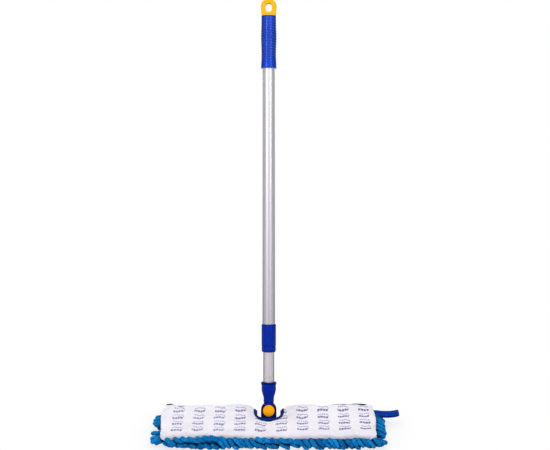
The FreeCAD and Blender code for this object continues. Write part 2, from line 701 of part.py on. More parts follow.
# one groove: height above its lower edge, share of the full depth
GROOVE_SHAPE = [(0.0, 0), (0.45, 1), (0.95, 1), (GROOVE_WIDE, 0)]
RIB_CROWN = 0.1


def grip_radius(z):
    up = z - size("gripBase")
    for (low, low_radius), (high, high_radius) in zip(GRIP_STATIONS, GRIP_STATIONS[1:]):
        if up <= high:
            return low_radius + (high_radius - low_radius) * (up - low) / (high - low)
    return GRIP_STATIONS[-1][1]


def grip_sleeve():
    # swelling sleeve with fine ribs between grooves
    base, top = size("gripBase"), size("gripTop")
    pitch, depth = size("ribPitch"), size("ribDepth")
    profile = [(grip_radius(base + up), base + up) for up in PLAIN_HEIGHTS]
    for i in range(int(size("ribCount"))):
        z = size("ribStart") + i * pitch
        for up, share in GROOVE_SHAPE:
            profile.append((grip_radius(z + up) - share * depth, z + up))
        crown = z + GROOVE_WIDE + (pitch - GROOVE_WIDE) / 2
        profile.append((grip_radius(crown) + RIB_CROWN, crown))
    profile = [point for point in profile if point[1] < top - 0.9]
    profile += [(grip_radius(top - 0.8), top - 0.8), (size("gripLip"), top)]
    bore = size("upperTubeRadius") + size("pushFit")
    loop = [(bore, base)] + profile + [(bore, top), (bore, base)]
    grip = new_body("grip_sleeve")
    sketch = fixed_sketch(grip, "grip_profile", "XZ_Plane", path(loop))
    revolve(grip, sketch, "grip_turned")
    return on_handle(grip)


# ---------------------------------------------------------------- hanging loop
HANGER_BASE = size("gripTop") + size("hangerGap")


def hanger_arch():
    # flat-based arch with a round top; the sides meet the top arc 12 degrees below its centre
    top, half, base_half = size("hangerTop"), size("hangerHalf"), size("hangerBaseHalf")
    angle = math.radians(12.0)
    x, z = half * math.cos(angle), top - half - half * math.sin(angle)
    arch = new_body("hanger_arch")
    curves = (
        path([(-base_half, HANGER_BASE), (base_half, HANGER_BASE), (x, z)])
        + [Part.Arc(Vector(x, z, 0), Vector(0, top, 0), Vector(-x, z, 0))]
        + path([(-x, z), (-base_half, HANGER_BASE)])
    )
    sketch = fixed_sketch(arch, "hanger_front", "XZ_Plane", curves)
    pad = extrude(arch, sketch, "hanger_body", "sizes.hangerThick", midplane=True)

    def is_face_rim(bounds):
        # edges of the front and rear faces, without their bottom lines
        return bounds.YLength < 1e-6 and bounds.ZMax > HANGER_BASE + 1

    fillet = soften(arch, "hanger_soft_edges", pad, is_face_rim)
    fillet.setExpression("Radius", "sizes.hangerRound")
    return on_handle(arch)


def hanging_loop():
    arch = hanger_arch()
    disc = cylinder("hanger_base", "sizes.hangerBaseHalf - 0.1", "sizes.hangerDisc")
    at_handle(disc, 0, 0, HANGER_BASE)
    plug = cylinder("hanger_plug", UPPER_BORE + " - sizes.pushFit", "sizes.hangerPlug")
    at_handle(plug, 0, 0, HANGER_BASE - size("hangerPlug") + 0.1)
    loop = fuse("hanger_a", [arch, disc, plug])

    half, depth = size("eyeSlotHalf"), 60.0
    low, high = size("eyeSlotLow") + half, size("eyeSlotHigh") - half
    ends = [
        at_handle(cylinder(name, "sizes.eyeSlotHalf", depth), 0, -depth / 2, z, AXIS_Y)
        for name, z in (("eye_low", low), ("eye_high", high))]
    middle = box("eye_middle", "2 * sizes.eyeSlotHalf", depth,
                 "sizes.eyeSlotHigh - sizes.eyeSlotLow - 2 * sizes.eyeSlotHalf")
    at_handle(middle, -half, -depth / 2, low)
    return cut("hanging_loop", loop, fuse("eye_slot", ends + [middle]))


# ---------------------------------------------------------------- build, check and write
nodes = {
    "upper_cloth": upper_cloth(),
    "wadding": wadding(),
    "lower_cloth": lower_cloth(),
    "chenille_pile": chenille_pile(),
    "upper_notch_binding": notch_binding("upper_notch_binding", "sizes.bindTopBase"),
    "lower_notch_binding": notch_binding("lower_notch_binding", "sizes.bindUnderBase"),
    "rear_hem": rear_hem(),
    "pull_tab": pull_tab(),
    "closure_hooks": closure_tapes("closure_hooks", 0.0),
    "closure_loops": closure_tapes("closure_loops", size("tapeStep")),
    "frame_plate": frame_plate(),
    "tilt_pin": tilt_pin(),
    "tilt_pin_clips": tilt_pin_clips(),
    "swivel_block": swivel_block(),
    "swivel_pin": swivel_pin(),
    "front_cap": pin_cap("front_cap", -1),
    "rear_cap": pin_cap("rear_cap", 1),
    "handle_socket": handle_socket(),
    "tube_insert": tube_insert(),
    "lower_tube": lower_tube(),
    "upper_tube": upper_tube(),
    "lock_collar": lock_collar(),
    "collar_end_ring": collar_end_ring(),
    "guide_bush": guide_bush(),
    "lock_plug": lock_plug(),
    "lock_stud": lock_stud(),
    "lock_expander": lock_expander(),
    "grip_sleeve": grip_sleeve(),
    "hanging_loop": hanging_loop(),
}
doc.recompute()
for obj in doc.Objects:
    if "Invalid" in obj.State or "Error" in obj.State:
        raise RuntimeError("feature not built: %s %s" % (obj.Name, obj.State))

os.makedirs("parts", exist_ok=True)
for name, obj in nodes.items():
    obj.Label = name
    shape = obj.Shape
    if shape.isNull() or not shape.isValid():
        raise RuntimeError("bad shape: " + name)
    if not shape.Solids or min(solid.Volume for solid in shape.Solids) <= 0:
        raise RuntimeError("no solid: " + name)
    shape.exportStep("parts/%s.step" % name)
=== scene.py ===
"""Flat mop: a wide microfibre pad on a hinged head, with a long telescopic handle.

The pad lies on the floor, long side along X and its front edge towards -Y. A notch is cut
into the rear edge at X = 0. The handle rises from the middle and leans back towards +Y. The
camera looks from the front, square to the handle, so left is -X. Lengths are in metres.
"""
import math
import random
import bpy
from mathutils import Vector, Matrix, noise


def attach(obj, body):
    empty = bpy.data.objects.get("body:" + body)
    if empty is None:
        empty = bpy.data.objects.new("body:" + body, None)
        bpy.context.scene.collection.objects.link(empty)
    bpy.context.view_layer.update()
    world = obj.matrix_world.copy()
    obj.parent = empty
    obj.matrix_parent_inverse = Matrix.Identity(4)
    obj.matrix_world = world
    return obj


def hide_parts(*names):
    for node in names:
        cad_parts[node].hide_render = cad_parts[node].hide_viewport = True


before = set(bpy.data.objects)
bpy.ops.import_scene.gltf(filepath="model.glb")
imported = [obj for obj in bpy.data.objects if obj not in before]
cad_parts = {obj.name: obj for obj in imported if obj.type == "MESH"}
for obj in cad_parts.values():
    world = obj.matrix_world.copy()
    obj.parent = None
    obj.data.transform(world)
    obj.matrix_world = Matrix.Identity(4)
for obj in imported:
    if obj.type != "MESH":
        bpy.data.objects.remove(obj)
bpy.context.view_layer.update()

rng = random.Random(7)

# handle: lean from upright, its direction, the viewing direction square to it, and its foot
LEAN = math.radians(22.0)
ALONG = Vector((0.0, math.sin(LEAN), math.cos(LEAN)))
LOOK = Vector((0.0, math.cos(LEAN), -math.sin(LEAN)))
TILT = Vector((0.0, 0.0325, 0.0192))
SWIVEL = TILT + ALONG * 0.0198

# pad outline
HALF, FRONT, REAR = 0.2105, -0.046, 0.070
# notch: half width, y of its root, y where the oval meets the straight sides, mouth radius
GAP, ROOT, SHOULDER, MOUTH = 0.029, 0.010, 0.048, 0.015
OVAL = 1.62  # superellipse power; below 2 the oval is more pointed at its root


# ---------------------------------------------------------------- small maths
def unit(value):
    """Limits to the range 0 to 1."""
    return max(0.0, min(1.0, value))


def bell(x, centre, width, power=2):
    return math.exp(-((x - centre) / width) ** power)


def signed_power(value, power):
    return math.copysign(abs(value) ** power, value)


def jitter(amount):
    return rng.uniform(-amount, amount)


def wobble(x, y, seed):
    """Smooth repeatable unevenness, about -1 to 1."""
    return (math.sin(x * 61.0 + seed) * math.cos(y * 83.0 - seed * 1.3) * 0.5
            + math.sin(x * 131.0 - y * 97.0 + seed * 2.1) * 0.3
            + math.sin(x * 29.0 + y * 41.0 + seed * 0.7) * 0.4)


def turned(direction, angle):
    c, s = math.cos(angle), math.sin(angle)
    return (direction[0] * c - direction[1] * s, direction[0] * s + direction[1] * c)


def curve(points, count):
    """Catmull-Rom through the points, evenly sampled in its parameter."""
    knots = [Vector(points[0])] + [Vector(q) for q in points] + [Vector(points[-1])]
    spans = len(knots) - 3
    samples = []
    for i in range(count):
        t = i / (count - 1) * spans
        k = min(int(t), spans - 1)
        t -= k
        a, b, c, d = knots[k:k + 4]
        samples.append(0.5 * ((2 * b) + (c - a) * t + (2 * a - 5 * b + 4 * c - d) * t * t
                              + (3 * b - 3 * c + d - a) * t ** 3))
    return samples


# ---------------------------------------------------------------- node graphs
class Value:
    """An output socket; arithmetic on it adds Math nodes."""

    def __init__(self, socket):
        self.socket = socket

    def output(self, key):
        """Another output of the same node."""
        return Value(self.socket.node.outputs[key])

    def op(self, kind, other=0.0):
        return math_node(kind, self, other)

    def clamped(self):
        self.socket.node.use_clamp = True
        return self

    def __add__(self, other):
        return math_node("ADD", self, other)

    def __radd__(self, other):
        return math_node("ADD", other, self)

    def __sub__(self, other):
        return math_node("SUBTRACT", self, other)

    def __rsub__(self, other):
        return math_node("SUBTRACT", other, self)

    def __mul__(self, other):
        return math_node("MULTIPLY", self, other)

    def __rmul__(self, other):
        return math_node("MULTIPLY", other, self)

    def __truediv__(self, other):
        return math_node("DIVIDE", self, other)


def put(socket, value):
    """Links a Value to an input, or sets the input to a plain value."""
    if isinstance(value, Value):
        socket.id_data.links.new(value.socket, socket)
    elif socket.type == "RGBA":
        socket.default_value = (*value, 1.0)
    else:
        socket.default_value = value


def math_node(kind, first, second):
    known = first if isinstance(first, Value) else second
    node = known.socket.id_data.nodes.new("ShaderNodeMath")
    node.operation = kind
    put(node.inputs[0], first)
    put(node.inputs[1], second)
    return Value(node.outputs[0])


def rise(value, start, over):
    """0 below start, climbing to 1 over the given distance."""
    return ((value - start) / over).clamped()


def fall(value, end, over):
    """0 above end, climbing to 1 over the given distance below it."""
    return ((end - value) / over).clamped()


def scaled(color, factor):
    return tuple(c * factor for c in color)


class Graph:
    def __init__(self, tree):
        self.tree = tree
        tree.nodes.clear()

    def add(self, kind, inputs={}, output=0, **settings):
        node = self.tree.nodes.new("ShaderNode" + kind)
        for key, value in settings.items():
            setattr(node, key, value)
        for key, value in inputs.items():
            put(node.inputs[key], value)
        return Value(node.outputs[output])

    def mix_shader(self, factor, first, second):
        return self.add("MixShader", {0: factor, 1: first, 2: second})


MATERIALS = {}


class Shader(Graph):
    """A Principled material with helpers for its textures."""

    SOCKETS = {
        "color": "Base Color", "rough": "Roughness", "metal": "Metallic", "normal": "Normal",
        "sheen": "Sheen Weight", "sheen_rough": "Sheen Roughness", "sheen_tint": "Sheen Tint",
        "coat_rough": "Coat Roughness", "spec": "Specular IOR Level", "aniso": "Anisotropic"}

    def __init__(self, name):
        self.name = name
        self.material = bpy.data.materials.new(name)
        self.material.use_nodes = True
        super().__init__(self.material.node_tree)
        self.surface = self.tree.nodes.new("ShaderNodeOutputMaterial").inputs["Surface"]
        self.principled = self.add("BsdfPrincipled")
        put(self.surface, self.principled)
        self.coord = self.add("TexCoord", output="Object")

    def finish(self, **inputs):
        for key, value in inputs.items():
            put(self.principled.socket.node.inputs[self.SOCKETS[key]], value)
        MATERIALS[self.name] = self.material

    def mapped(self, scale=(1, 1, 1), turn=(0, 0, 0), move=(0, 0, 0), at=None):
        return self.add("Mapping", {"Vector": at or self.coord, "Scale": scale,
                                    "Rotation": turn, "Location": move})

    def on_handle(self):
        """Coordinates with Z along the handle and the origin on the swivel axis."""
        return self.mapped(turn=(LEAN, 0, 0), at=self.mapped(move=tuple(-SWIVEL)))

    def axes(self, at=None):
        x = self.add("SeparateXYZ", {0: at or self.coord})
        return x, x.output(1), x.output(2)

    def noise(self, scale, detail=3.0, rough=0.55, at=None):
        return self.add("TexNoise", {"Vector": at or self.coord, "Scale": scale,
                                     "Detail": detail, "Roughness": rough}, "Fac")

    def voronoi(self, scale, at=None):
        return self.add("TexVoronoi", {"Vector": at or self.coord, "Scale": scale}, "Distance")

    def wave(self, scale, axis, distortion, at=None):
        return self.add("TexWave", {"Vector": at or self.coord, "Scale": scale,
                                    "Distortion": distortion, "Detail": 2.0,
                                    "Detail Scale": 2.0}, "Fac", bands_direction=axis)

    def ramp(self, factor, stops):
        """Stops are (position, colour or grey level)."""
        value = self.add("ValToRGB", {0: factor}, "Color")
        elements = value.socket.node.color_ramp.elements
        while len(elements) > 1:
            elements.remove(elements[-1])
        for i, (position, color) in enumerate(stops):
            element = elements.new(position) if i else elements[0]
            element.position = position
            element.color = (*color, 1.0) if isinstance(color, tuple) else (color,) * 3 + (1.0,)
        return value

    def fade(self, factor, start, end):
        """Black at start to white at end."""
        return self.ramp(factor, [(start, 0.0), (end, 1.0)])

    def mix(self, factor, first, second):
        return self.add("Mix", {0: factor, 6: first, 7: second}, 2, data_type="RGBA")

    def bump(self, height, strength, distance, normal=None):
        inputs = {"Height": height, "Strength": strength, "Distance": distance}
        if normal is not None:
            inputs["Normal"] = normal
        return self.add("Bump", inputs)

    def cavity(self, reach, samples=6, deep=0.25, shallow=0.85):
        """0 in the open, 1 deep in a gap."""
        open_sky = self.add("AmbientOcclusion", {"Distance": reach}, "AO", samples=samples)
        return self.ramp(open_sky, [(deep, 1.0), (shallow, 0.0)])

    def facing(self):
        """0 where the surface faces the viewer, towards 1 at its outline."""
        return self.add("LayerWeight", output="Facing")


# ---------------------------------------------------------------- materials
def plastic(name, dark, base, light, rough, bump, spec, outline_shade=0.55, turn=(0.42, 0.92),
            cavity_shade=0.75, ribs=None, gap=None, lip=None):
    """Worn glossy plastic on the handle.

    outline_shade, cavity_shade: strength of the painted shade at outlines and in cavities; turn:
    where the painted outline shade starts and ends. ribs: start, end and pitch along the handle,
    with painted shade in the grooves. gap: inner and outer radius from the swivel axis of a seat
    with painted shade; the foot of the hub is painted darker too. lip: start and end along the
    handle of painted shade in the socket mouth.
    """
    s = Shader(name)
    place = s.on_handle()
    cloud = s.noise(scale=38.0, rough=0.6, at=place)
    fine = s.noise(scale=1400.0, detail=2.0, rough=0.6, at=place)
    color = s.ramp(cloud, [(0.25, dark), (0.5, base), (0.78, light)])
    streaks = s.mapped(scale=(14.0, 14.0, 1.0), at=place)
    scuff = s.noise(scale=9.0, detail=5.0, rough=0.75, at=streaks)
    color = s.mix(s.fade(scuff, start=0.56, end=0.74) * 0.10, color, light)
    if gap:
        x, y, z = s.axes(place)
        radius = (x * x + z * z).op("SQRT")
        inner = rise(radius, start=gap[0], over=0.0006)
        outer = fall(radius, end=gap[1], over=0.0020)
        below = fall(z, end=0.0135, over=0.004)
        # painted shade: a dark ring in the seat round the cap, on its lower part
        color = s.mix(inner * outer * below * 0.88, color, (0.0, 0.0, 0.030))
        # painted shade: darker towards the foot of the hub
        foot = fall(z, end=-0.0095, over=0.006)
        color = s.mix(foot * 0.6, color, (0.0, 0.002, 0.09))
    if lip:
        z = s.axes(place)[2]
        # painted shade in the socket mouth
        mouth = rise(z, start=lip[0], over=0.0015) * fall(z, end=lip[1], over=0.0010)
        color = s.mix(mouth * 0.75, color, (0.0, 0.002, 0.06))
    # painted shade: darker in cavities
    color = s.mix(s.cavity(0.004) * cavity_shade, color, scaled(dark, 0.18))
    # painted shade: darker towards the outline
    outline = s.fade(s.facing(), *turn)
    color = s.mix(outline * outline_shade, color, scaled(dark, 0.35))
    normal = s.bump(fine + scuff * 0.4, strength=bump, distance=0.0004)
    if ribs:
        start, end, pitch = ribs
        z = s.axes(place)[2]
        saw = ((z - start) * (6.28319 / pitch)).op("SINE")
        ribbed = rise(z, start, over=0.002) * fall(z, end, over=0.002)
        normal = s.bump(saw * ribbed, strength=0.16, distance=0.0008, normal=normal)
        # painted shade in the grooves between the ribs
        groove_shade = (0.15 - saw).clamped() * ribbed
        color = s.mix(groove_shade * 0.30, color, scaled(dark, 0.45))
        # hands polish the tops of the ribs
        spec = spec + (saw + 0.4).clamped() * ribbed * 0.26
    s.finish(color=color, rough=rough + (scuff - 0.5) * 0.22, coat_rough=0.2, spec=spec,
             normal=normal)


def satin_tube(name, low, mid, top):
    """Drawn metal; its colour runs from low to top up the handle."""
    s = Shader(name)
    place = s.on_handle()
    drawn = s.noise(scale=60.0, detail=4.0, rough=0.7,
                    at=s.mapped(scale=(60.0, 60.0, 0.9), at=place))
    cloud = s.noise(scale=11.0, rough=0.6, at=place)
    # painted light: the colour runs from greyer low down to near white at the top, as if more
    # light falls higher up
    height = ((s.axes(place)[2] - 0.02) * 1.45).clamped()
    color = s.ramp(height, [(0.0, low), (0.45, mid), (1.0, top)])
    color = s.mix(((drawn - 0.5) * 0.20).clamped(), color, (0.46, 0.45, 0.50))
    # painted shade: darkens towards its outline, more so lower down
    outline = s.fade(s.facing(), start=0.22, end=0.58) * (1.0 - height * 0.95).clamped()
    color = s.mix(outline, color, (0.07, 0.065, 0.07))
    s.finish(color=color, metal=0.9, rough=(0.33 + cloud * 0.10) + drawn * 0.06,
             normal=s.bump(drawn, strength=0.012, distance=0.0002), aniso=0.1)


def steel(name):
    s = Shader(name)
    lathe = s.noise(scale=900.0, rough=0.6, at=s.mapped(scale=(1.0, 0.1, 0.1)))
    smear = s.noise(scale=60.0)
    color = s.ramp(lathe, [(0.3, (0.42, 0.42, 0.43)), (0.7, (0.63, 0.63, 0.64))])
    s.finish(color=color, metal=1.0, rough=0.25 + smear * 0.2,
             normal=s.bump(lathe, strength=0.15, distance=0.0002))


def moulded(name, dark, base, light, rough):
    """Matt grained plastic."""
    s = Shader(name)
    grain = s.voronoi(scale=1500.0)
    cloud = s.noise(scale=30.0)
    scuff = s.noise(scale=70.0, detail=6.0, rough=0.75)
    color = s.ramp(cloud, [(0.3, dark), (0.5, base), (0.75, light)])
    color = s.mix(s.fade(scuff, start=0.55, end=0.7) * 0.15, color, light)
    s.finish(color=color, rough=rough + scuff * 0.15,
             normal=s.bump(grain, strength=0.18, distance=0.0003))


def weave(name, dark, base, light, pitch, strength=0.7, sheen=0.25):
    """Woven cloth; pitch sets the thread spacing, strength the relief."""
    s = Shader(name)
    place = s.mapped()
    scale = 1.0 / pitch / 6.2832 * 3.14159  # about half the inverse of the pitch
    wave_x, wave_y, wave_z = [s.wave(scale, axis, distortion=0.35, at=place) for axis in "XYZ"]
    threads = wave_x * wave_y * (0.5 + wave_z * 0.5)
    cloud = s.noise(scale=70.0, detail=4.0, rough=0.7)
    fibre = s.noise(scale=2600.0, detail=2.0)
    color = s.ramp(threads * 0.5 + cloud * 0.5, [(0.2, dark), (0.45, base), (0.75, light)])
    s.finish(color=color, rough=0.82, spec=0.06, sheen=sheen, sheen_rough=0.4,
             normal=s.bump(threads + fibre * 0.35, strength, distance=pitch * 0.5))


def foam(name):
    s = Shader(name)
    cells = s.voronoi(scale=420.0)
    cloud = s.noise(scale=40.0, detail=4.0)
    color = s.ramp(cloud, [(0.3, (0.66, 0.66, 0.62)), (0.7, (0.82, 0.82, 0.79))])
    s.finish(color=color, rough=0.9, normal=s.bump(cells, strength=0.8, distance=0.001))


def wave_print(s, color):
    """Prints rows of paired wave strokes, each pair with a hook, on the upper face."""
    tile_x, tile_y = 0.04077, 0.0250
    x, y, z = s.axes()
    # painted shade: the cloth darkens towards its rolled front edge
    rolled = fall(y, end=-0.0225, over=0.018)
    color = s.mix(rolled * 0.62, color, (0.52, 0.505, 0.555))
    shift_x = s.noise(scale=34.0, detail=2.0, rough=0.5, at=s.mapped(move=(3.0, 1.0, 0.0)))
    shift_y = s.noise(scale=34.0, detail=2.0, rough=0.5, at=s.mapped(move=(0.0, 7.0, 0.0)))
    # the rows climb a little towards the right end, as cloth pulled on askew
    askew = x.op("MAXIMUM", 0.0) * -0.030
    print_x = x + (shift_x - 0.5) * 0.006
    print_y = y + askew + (shift_y - 0.5) * 0.009
    column = (print_x + (0.1786 + tile_x / 2)) / tile_x
    # rows sit closer together towards the rounded front edge
    row = 2.390 + (print_y * -44.53 + print_y * print_y * 80.9)
    in_x = (column.op("FRACT") - 0.5) * tile_x
    in_y = (0.5 - row.op("FRACT")) * tile_y
    seed = column.op("FLOOR") * 1.7 + row.op("FLOOR") * 2.9
    strength = (seed * 12.9898).op("SINE").op("ABSOLUTE")

    def stroke(offset, height, waves, width, left, right, shift):
        middle = offset + (in_x * waves + seed * shift).op("SINE") * height
        line = fall((in_y - middle).op("ABSOLUTE"), end=width, over=0.0014)
        return line * (rise(in_x, left, over=0.0012) * fall(in_x, right, over=0.0012))

    upper_dash = rise((in_x * 1500.0 + seed).op("SINE"), start=-0.5, over=0.4)
    lower_dash = rise((in_x * 1180.0 + seed * 2.0).op("SINE"), start=-0.8, over=0.5)
    upper = stroke(offset=0.0066, height=0.0010, waves=420.0, width=0.0025,
                   left=-0.0100, right=0.0104, shift=1.0) * (0.30 + upper_dash * 0.70)
    lower = stroke(offset=-0.0044, height=0.0012, waves=330.0, width=0.0042,
                   left=-0.0115, right=0.0108, shift=2.3) * (0.45 + lower_dash * 0.55)
    # right half of an oval ring
    hook_x = (in_x - 0.0072) / 0.0040
    hook_y = (in_y - 0.0006) / 0.0056
    ring = ((hook_x * hook_x + hook_y * hook_y).op("SQRT") - 1.0).op("ABSOLUTE")
    hook = fall(ring, end=0.26, over=0.12) * (hook_x / 0.4).clamped()

    patch = s.noise(scale=210.0, rough=0.75)
    ink = s.ramp(patch, [(0.30, 0.50), (0.50, 1.0)]) * (0.78 + strength * 0.22)
    field = (fall(x.op("ABSOLUTE"), end=0.2000, over=0.002)
             * rise(y + askew, start=-0.0360, over=0.002) * fall(y, end=0.0690, over=0.002))
    mask = field * rise(z, start=0.0245, over=0.001) * ink
    color = s.mix(hook * mask * 0.62, color, (0.15, 0.15, 0.36))
    color = s.mix(upper * mask * 0.90, color, (0.12, 0.12, 0.36))
    return s.mix(lower * mask * 1.0, color, (0.045, 0.045, 0.215))


def microfibre(name, printed):
    """Short looped white pile."""
    s = Shader(name)
    loops = s.voronoi(scale=560.0, at=s.mapped(scale=(1.0, 1.0, 0.8)))
    rows = s.wave(scale=300.0, axis="X", distortion=1.2)
    tuft = s.noise(scale=900.0, rough=0.7)
    cloud = s.noise(scale=26.0, detail=4.0, rough=0.6)
    color = s.ramp(cloud, [(0.25, (0.69, 0.650, 0.690)), (0.5, (0.745, 0.725, 0.770)),
                           (0.8, (0.79, 0.780, 0.800))])
    color = s.mix(s.fade(loops, start=0.25, end=0.62) * 0.20, color, (0.62, 0.59, 0.72))
    if printed:
        color = wave_print(s, color)
    height = loops * -0.8 + (tuft * 0.5 + rows * 0.25)
    s.finish(color=color, rough=0.93, spec=0.1, sheen=0.12, sheen_rough=0.5,
             normal=s.bump(height, strength=0.55, distance=0.0009))


def chenille(name):
    """Fluffy blue pile; the mesh attribute "shade" sets the tone of each finger."""
    s = Shader(name)
    fluff = s.noise(scale=900.0, detail=4.0, rough=0.8)
    clump = s.noise(scale=170.0, rough=0.6)
    hue = s.noise(scale=34.0, detail=2.0, rough=0.5)
    tone = s.add("Attribute", output="Fac", attribute_name="shade")
    color = s.ramp(clump * 0.42 + (fluff * 0.42 + tone * 0.16), [
        (0.28, (0.0, 0.020, 0.14)), (0.40, (0.0, 0.080, 0.28)), (0.50, (0.0, 0.150, 0.43)),
        (0.60, (0.002, 0.25, 0.64)), (0.72, (0.010, 0.36, 0.78))])
    color = s.mix(s.fade(hue, start=0.45, end=0.62) * 0.30, color, (0.0, 0.125, 0.27))
    # painted shade: darker in the gaps between the fingers
    gaps = s.cavity(reach=0.0080, samples=8, deep=0.30, shallow=0.90)
    color = s.mix(gaps * 0.96, color, (0.0, 0.0005, 0.022))
    s.finish(color=color, rough=0.9, spec=0.08, sheen=0.12, sheen_rough=0.4,
             sheen_tint=(0.1, 0.5, 1.0),
             normal=s.bump(fluff * 0.9 + clump * 0.5, strength=1.0, distance=0.0018))


BLUE = dict(dark=(0.0, 0.009, 0.20), base=(0.0, 0.0145, 0.265), light=(0.0, 0.022, 0.31),
            rough=0.36, bump=0.10, spec=0.05)
plastic("blue_plastic", **BLUE, lip=(0.0505, 0.0600), outline_shade=0.75)
plastic("hub_plastic", **BLUE, gap=(0.0109, 0.0215))
plastic("collar_plastic", dark=(0.0, 0.010, 0.195), base=(0.0, 0.0145, 0.245),
        light=(0.0, 0.022, 0.285), rough=0.38, bump=0.12, spec=0.06, outline_shade=0.75)
plastic("grip_plastic", dark=(0.0, 0.032, 0.37), base=(0.0005, 0.040, 0.455),
        light=(0.004, 0.057, 0.53), rough=0.12, bump=0.05, spec=0.30,
        ribs=(0.6945, 0.7775, 0.00526), outline_shade=0.90, turn=(0.07, 0.60), cavity_shade=0.30)
plastic("yellow_plastic", dark=(0.70, 0.255, 0.0), base=(0.77, 0.300, 0.0),
        light=(0.82, 0.34, 0.0), rough=0.36, bump=0.09, spec=0.06, outline_shade=0.25)
plastic("hanger_plastic", dark=(0.74, 0.32, 0.0), base=(0.80, 0.385, 0.001),
        light=(0.85, 0.44, 0.004), rough=0.34, bump=0.09, spec=0.08, outline_shade=0.35)
moulded("inner_plastic", dark=(0.10, 0.10, 0.11), base=(0.17, 0.17, 0.18),
        light=(0.25, 0.25, 0.27), rough=0.5)
moulded("plate_plastic", dark=(0.006, 0.014, 0.10), base=(0.010, 0.024, 0.16),
        light=(0.02, 0.05, 0.24), rough=0.42)
satin_tube("tube_metal", low=(0.54, 0.505, 0.555), mid=(0.73, 0.705, 0.76),
           top=(0.93, 0.92, 0.95))
satin_tube("lower_tube_metal", low=(0.74, 0.68, 0.74), mid=(0.78, 0.72, 0.78),
           top=(0.8, 0.76, 0.8))
steel("pin_steel")
weave("bias_binding", dark=(0.0, 0.012, 0.10), base=(0.0, 0.028, 0.19),
      light=(0.002, 0.060, 0.29), pitch=0.0008, sheen=0.02)
weave("hem_binding", dark=(0.004, 0.006, 0.03), base=(0.006, 0.012, 0.065),
      light=(0.015, 0.03, 0.12), pitch=0.0008, sheen=0.03)
weave("closure_tape", dark=(0.01, 0.01, 0.04), base=(0.02, 0.025, 0.08),
      light=(0.04, 0.05, 0.14), pitch=0.0016, strength=1.0)
weave("tab_webbing", dark=(0.0, 0.022, 0.22), base=(0.0, 0.048, 0.37),
      light=(0.002, 0.082, 0.49), pitch=0.0016, strength=0.9, sheen=0.01)
foam("pad_foam")
# painted shade: the cloth that carries the pile is near black, so the gaps between the fingers
# read as shadow
weave("base_cloth", dark=(0.0, 0.004, 0.045), base=(0.0, 0.012, 0.10),
      light=(0.0, 0.03, 0.17), pitch=0.0016, strength=1.0, sheen=0.0)
microfibre("printed_microfibre", printed=True)
microfibre("plain_microfibre", printed=False)
chenille("blue_chenille")

# ---------------------------------------------------------------- CAD pieces: finish only
SHARP_ANGLE = math.radians(32)
FINISHES = {  # CAD piece: material
    "upper_tube": "tube_metal", "lower_tube": "lower_tube_metal",
    "lock_collar": "collar_plastic", "collar_end_ring": "collar_plastic",
    "grip_sleeve": "grip_plastic", "hanging_loop": "hanger_plastic",
    "front_cap": "yellow_plastic", "rear_cap": "yellow_plastic",
    "handle_socket": "blue_plastic", "swivel_block": "hub_plastic",
    "swivel_pin": "blue_plastic", "tilt_pin": "pin_steel", "tilt_pin_clips": "pin_steel",
    "frame_plate": "plate_plastic", "guide_bush": "inner_plastic",
    "tube_insert": "inner_plastic", "lock_plug": "inner_plastic",
    "lock_stud": "inner_plastic", "lock_expander": "inner_plastic", "wadding": "pad_foam",
    "lower_cloth": "plain_microfibre", "closure_hooks": "closure_tape",
    "closure_loops": "closure_tape", "upper_cloth": "printed_microfibre",
    "chenille_pile": "blue_chenille", "upper_notch_binding": "bias_binding",
    "lower_notch_binding": "bias_binding", "rear_hem": "hem_binding",
    "pull_tab": "tab_webbing"}
EDGE_WIDTHS = {  # CAD piece: width of its bevelled edges
    "lock_collar": 0.0004, "collar_end_ring": 0.0003, "handle_socket": 0.0005,
    "swivel_block": 0.0007, "hanging_loop": 0.0006, "front_cap": 0.0004,
    "rear_cap": 0.0004, "frame_plate": 0.0008, "grip_sleeve": 0.00012,
    "lock_plug": 0.0003, "lock_stud": 0.0003, "lock_expander": 0.0003,
    "tube_insert": 0.0003, "tilt_pin": 0.0003, "swivel_pin": 0.0003}


def smooth_by_angle():
    """Node group that shades smooth across every edge flatter than SHARP_ANGLE."""
    group = bpy.data.node_groups.new("smooth_by_angle", "GeometryNodeTree")
    for direction in ("INPUT", "OUTPUT"):
        group.interface.new_socket("Geometry", in_out=direction,
                                   socket_type="NodeSocketGeometry")
    group_in = group.nodes.new("NodeGroupInput")
    group_out = group.nodes.new("NodeGroupOutput")
    edge_angle = group.nodes.new("GeometryNodeInputMeshEdgeAngle")
    flatter = group.nodes.new("FunctionNodeCompare")
    flatter.operation = "LESS_THAN"
    flatter.inputs[1].default_value = SHARP_ANGLE
    shade = group.nodes.new("GeometryNodeSetShadeSmooth")
    shade.domain = "EDGE"
    group.links.new(edge_angle.outputs["Unsigned Angle"], flatter.inputs[0])
    group.links.new(group_in.outputs[0], shade.inputs["Geometry"])
    group.links.new(flatter.outputs[0], shade.inputs["Shade Smooth"])
    group.links.new(shade.outputs[0], group_out.inputs[0])
    return group


def shade_smooth(mesh):
    for polygon in mesh.polygons:
        polygon.use_smooth = True


def dress(obj, material):
    obj.data.materials.clear()
    obj.data.materials.append(MATERIALS[material])
    shade_smooth(obj.data)


smoothing = smooth_by_angle()
for piece, material in FINISHES.items():
    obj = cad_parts[piece]
    dress(obj, material)
    weld = obj.modifiers.new("weld", "WELD")
    weld.merge_threshold = 0.00002
    if piece in EDGE_WIDTHS:
        bevel = obj.modifiers.new("soft_edges", "BEVEL")
        bevel.width = EDGE_WIDTHS[piece]
        bevel.segments = 2
        bevel.limit_method = "ANGLE"
        bevel.angle_limit = SHARP_ANGLE
    obj.modifiers.new("by_angle", "NODES").node_group = smoothing


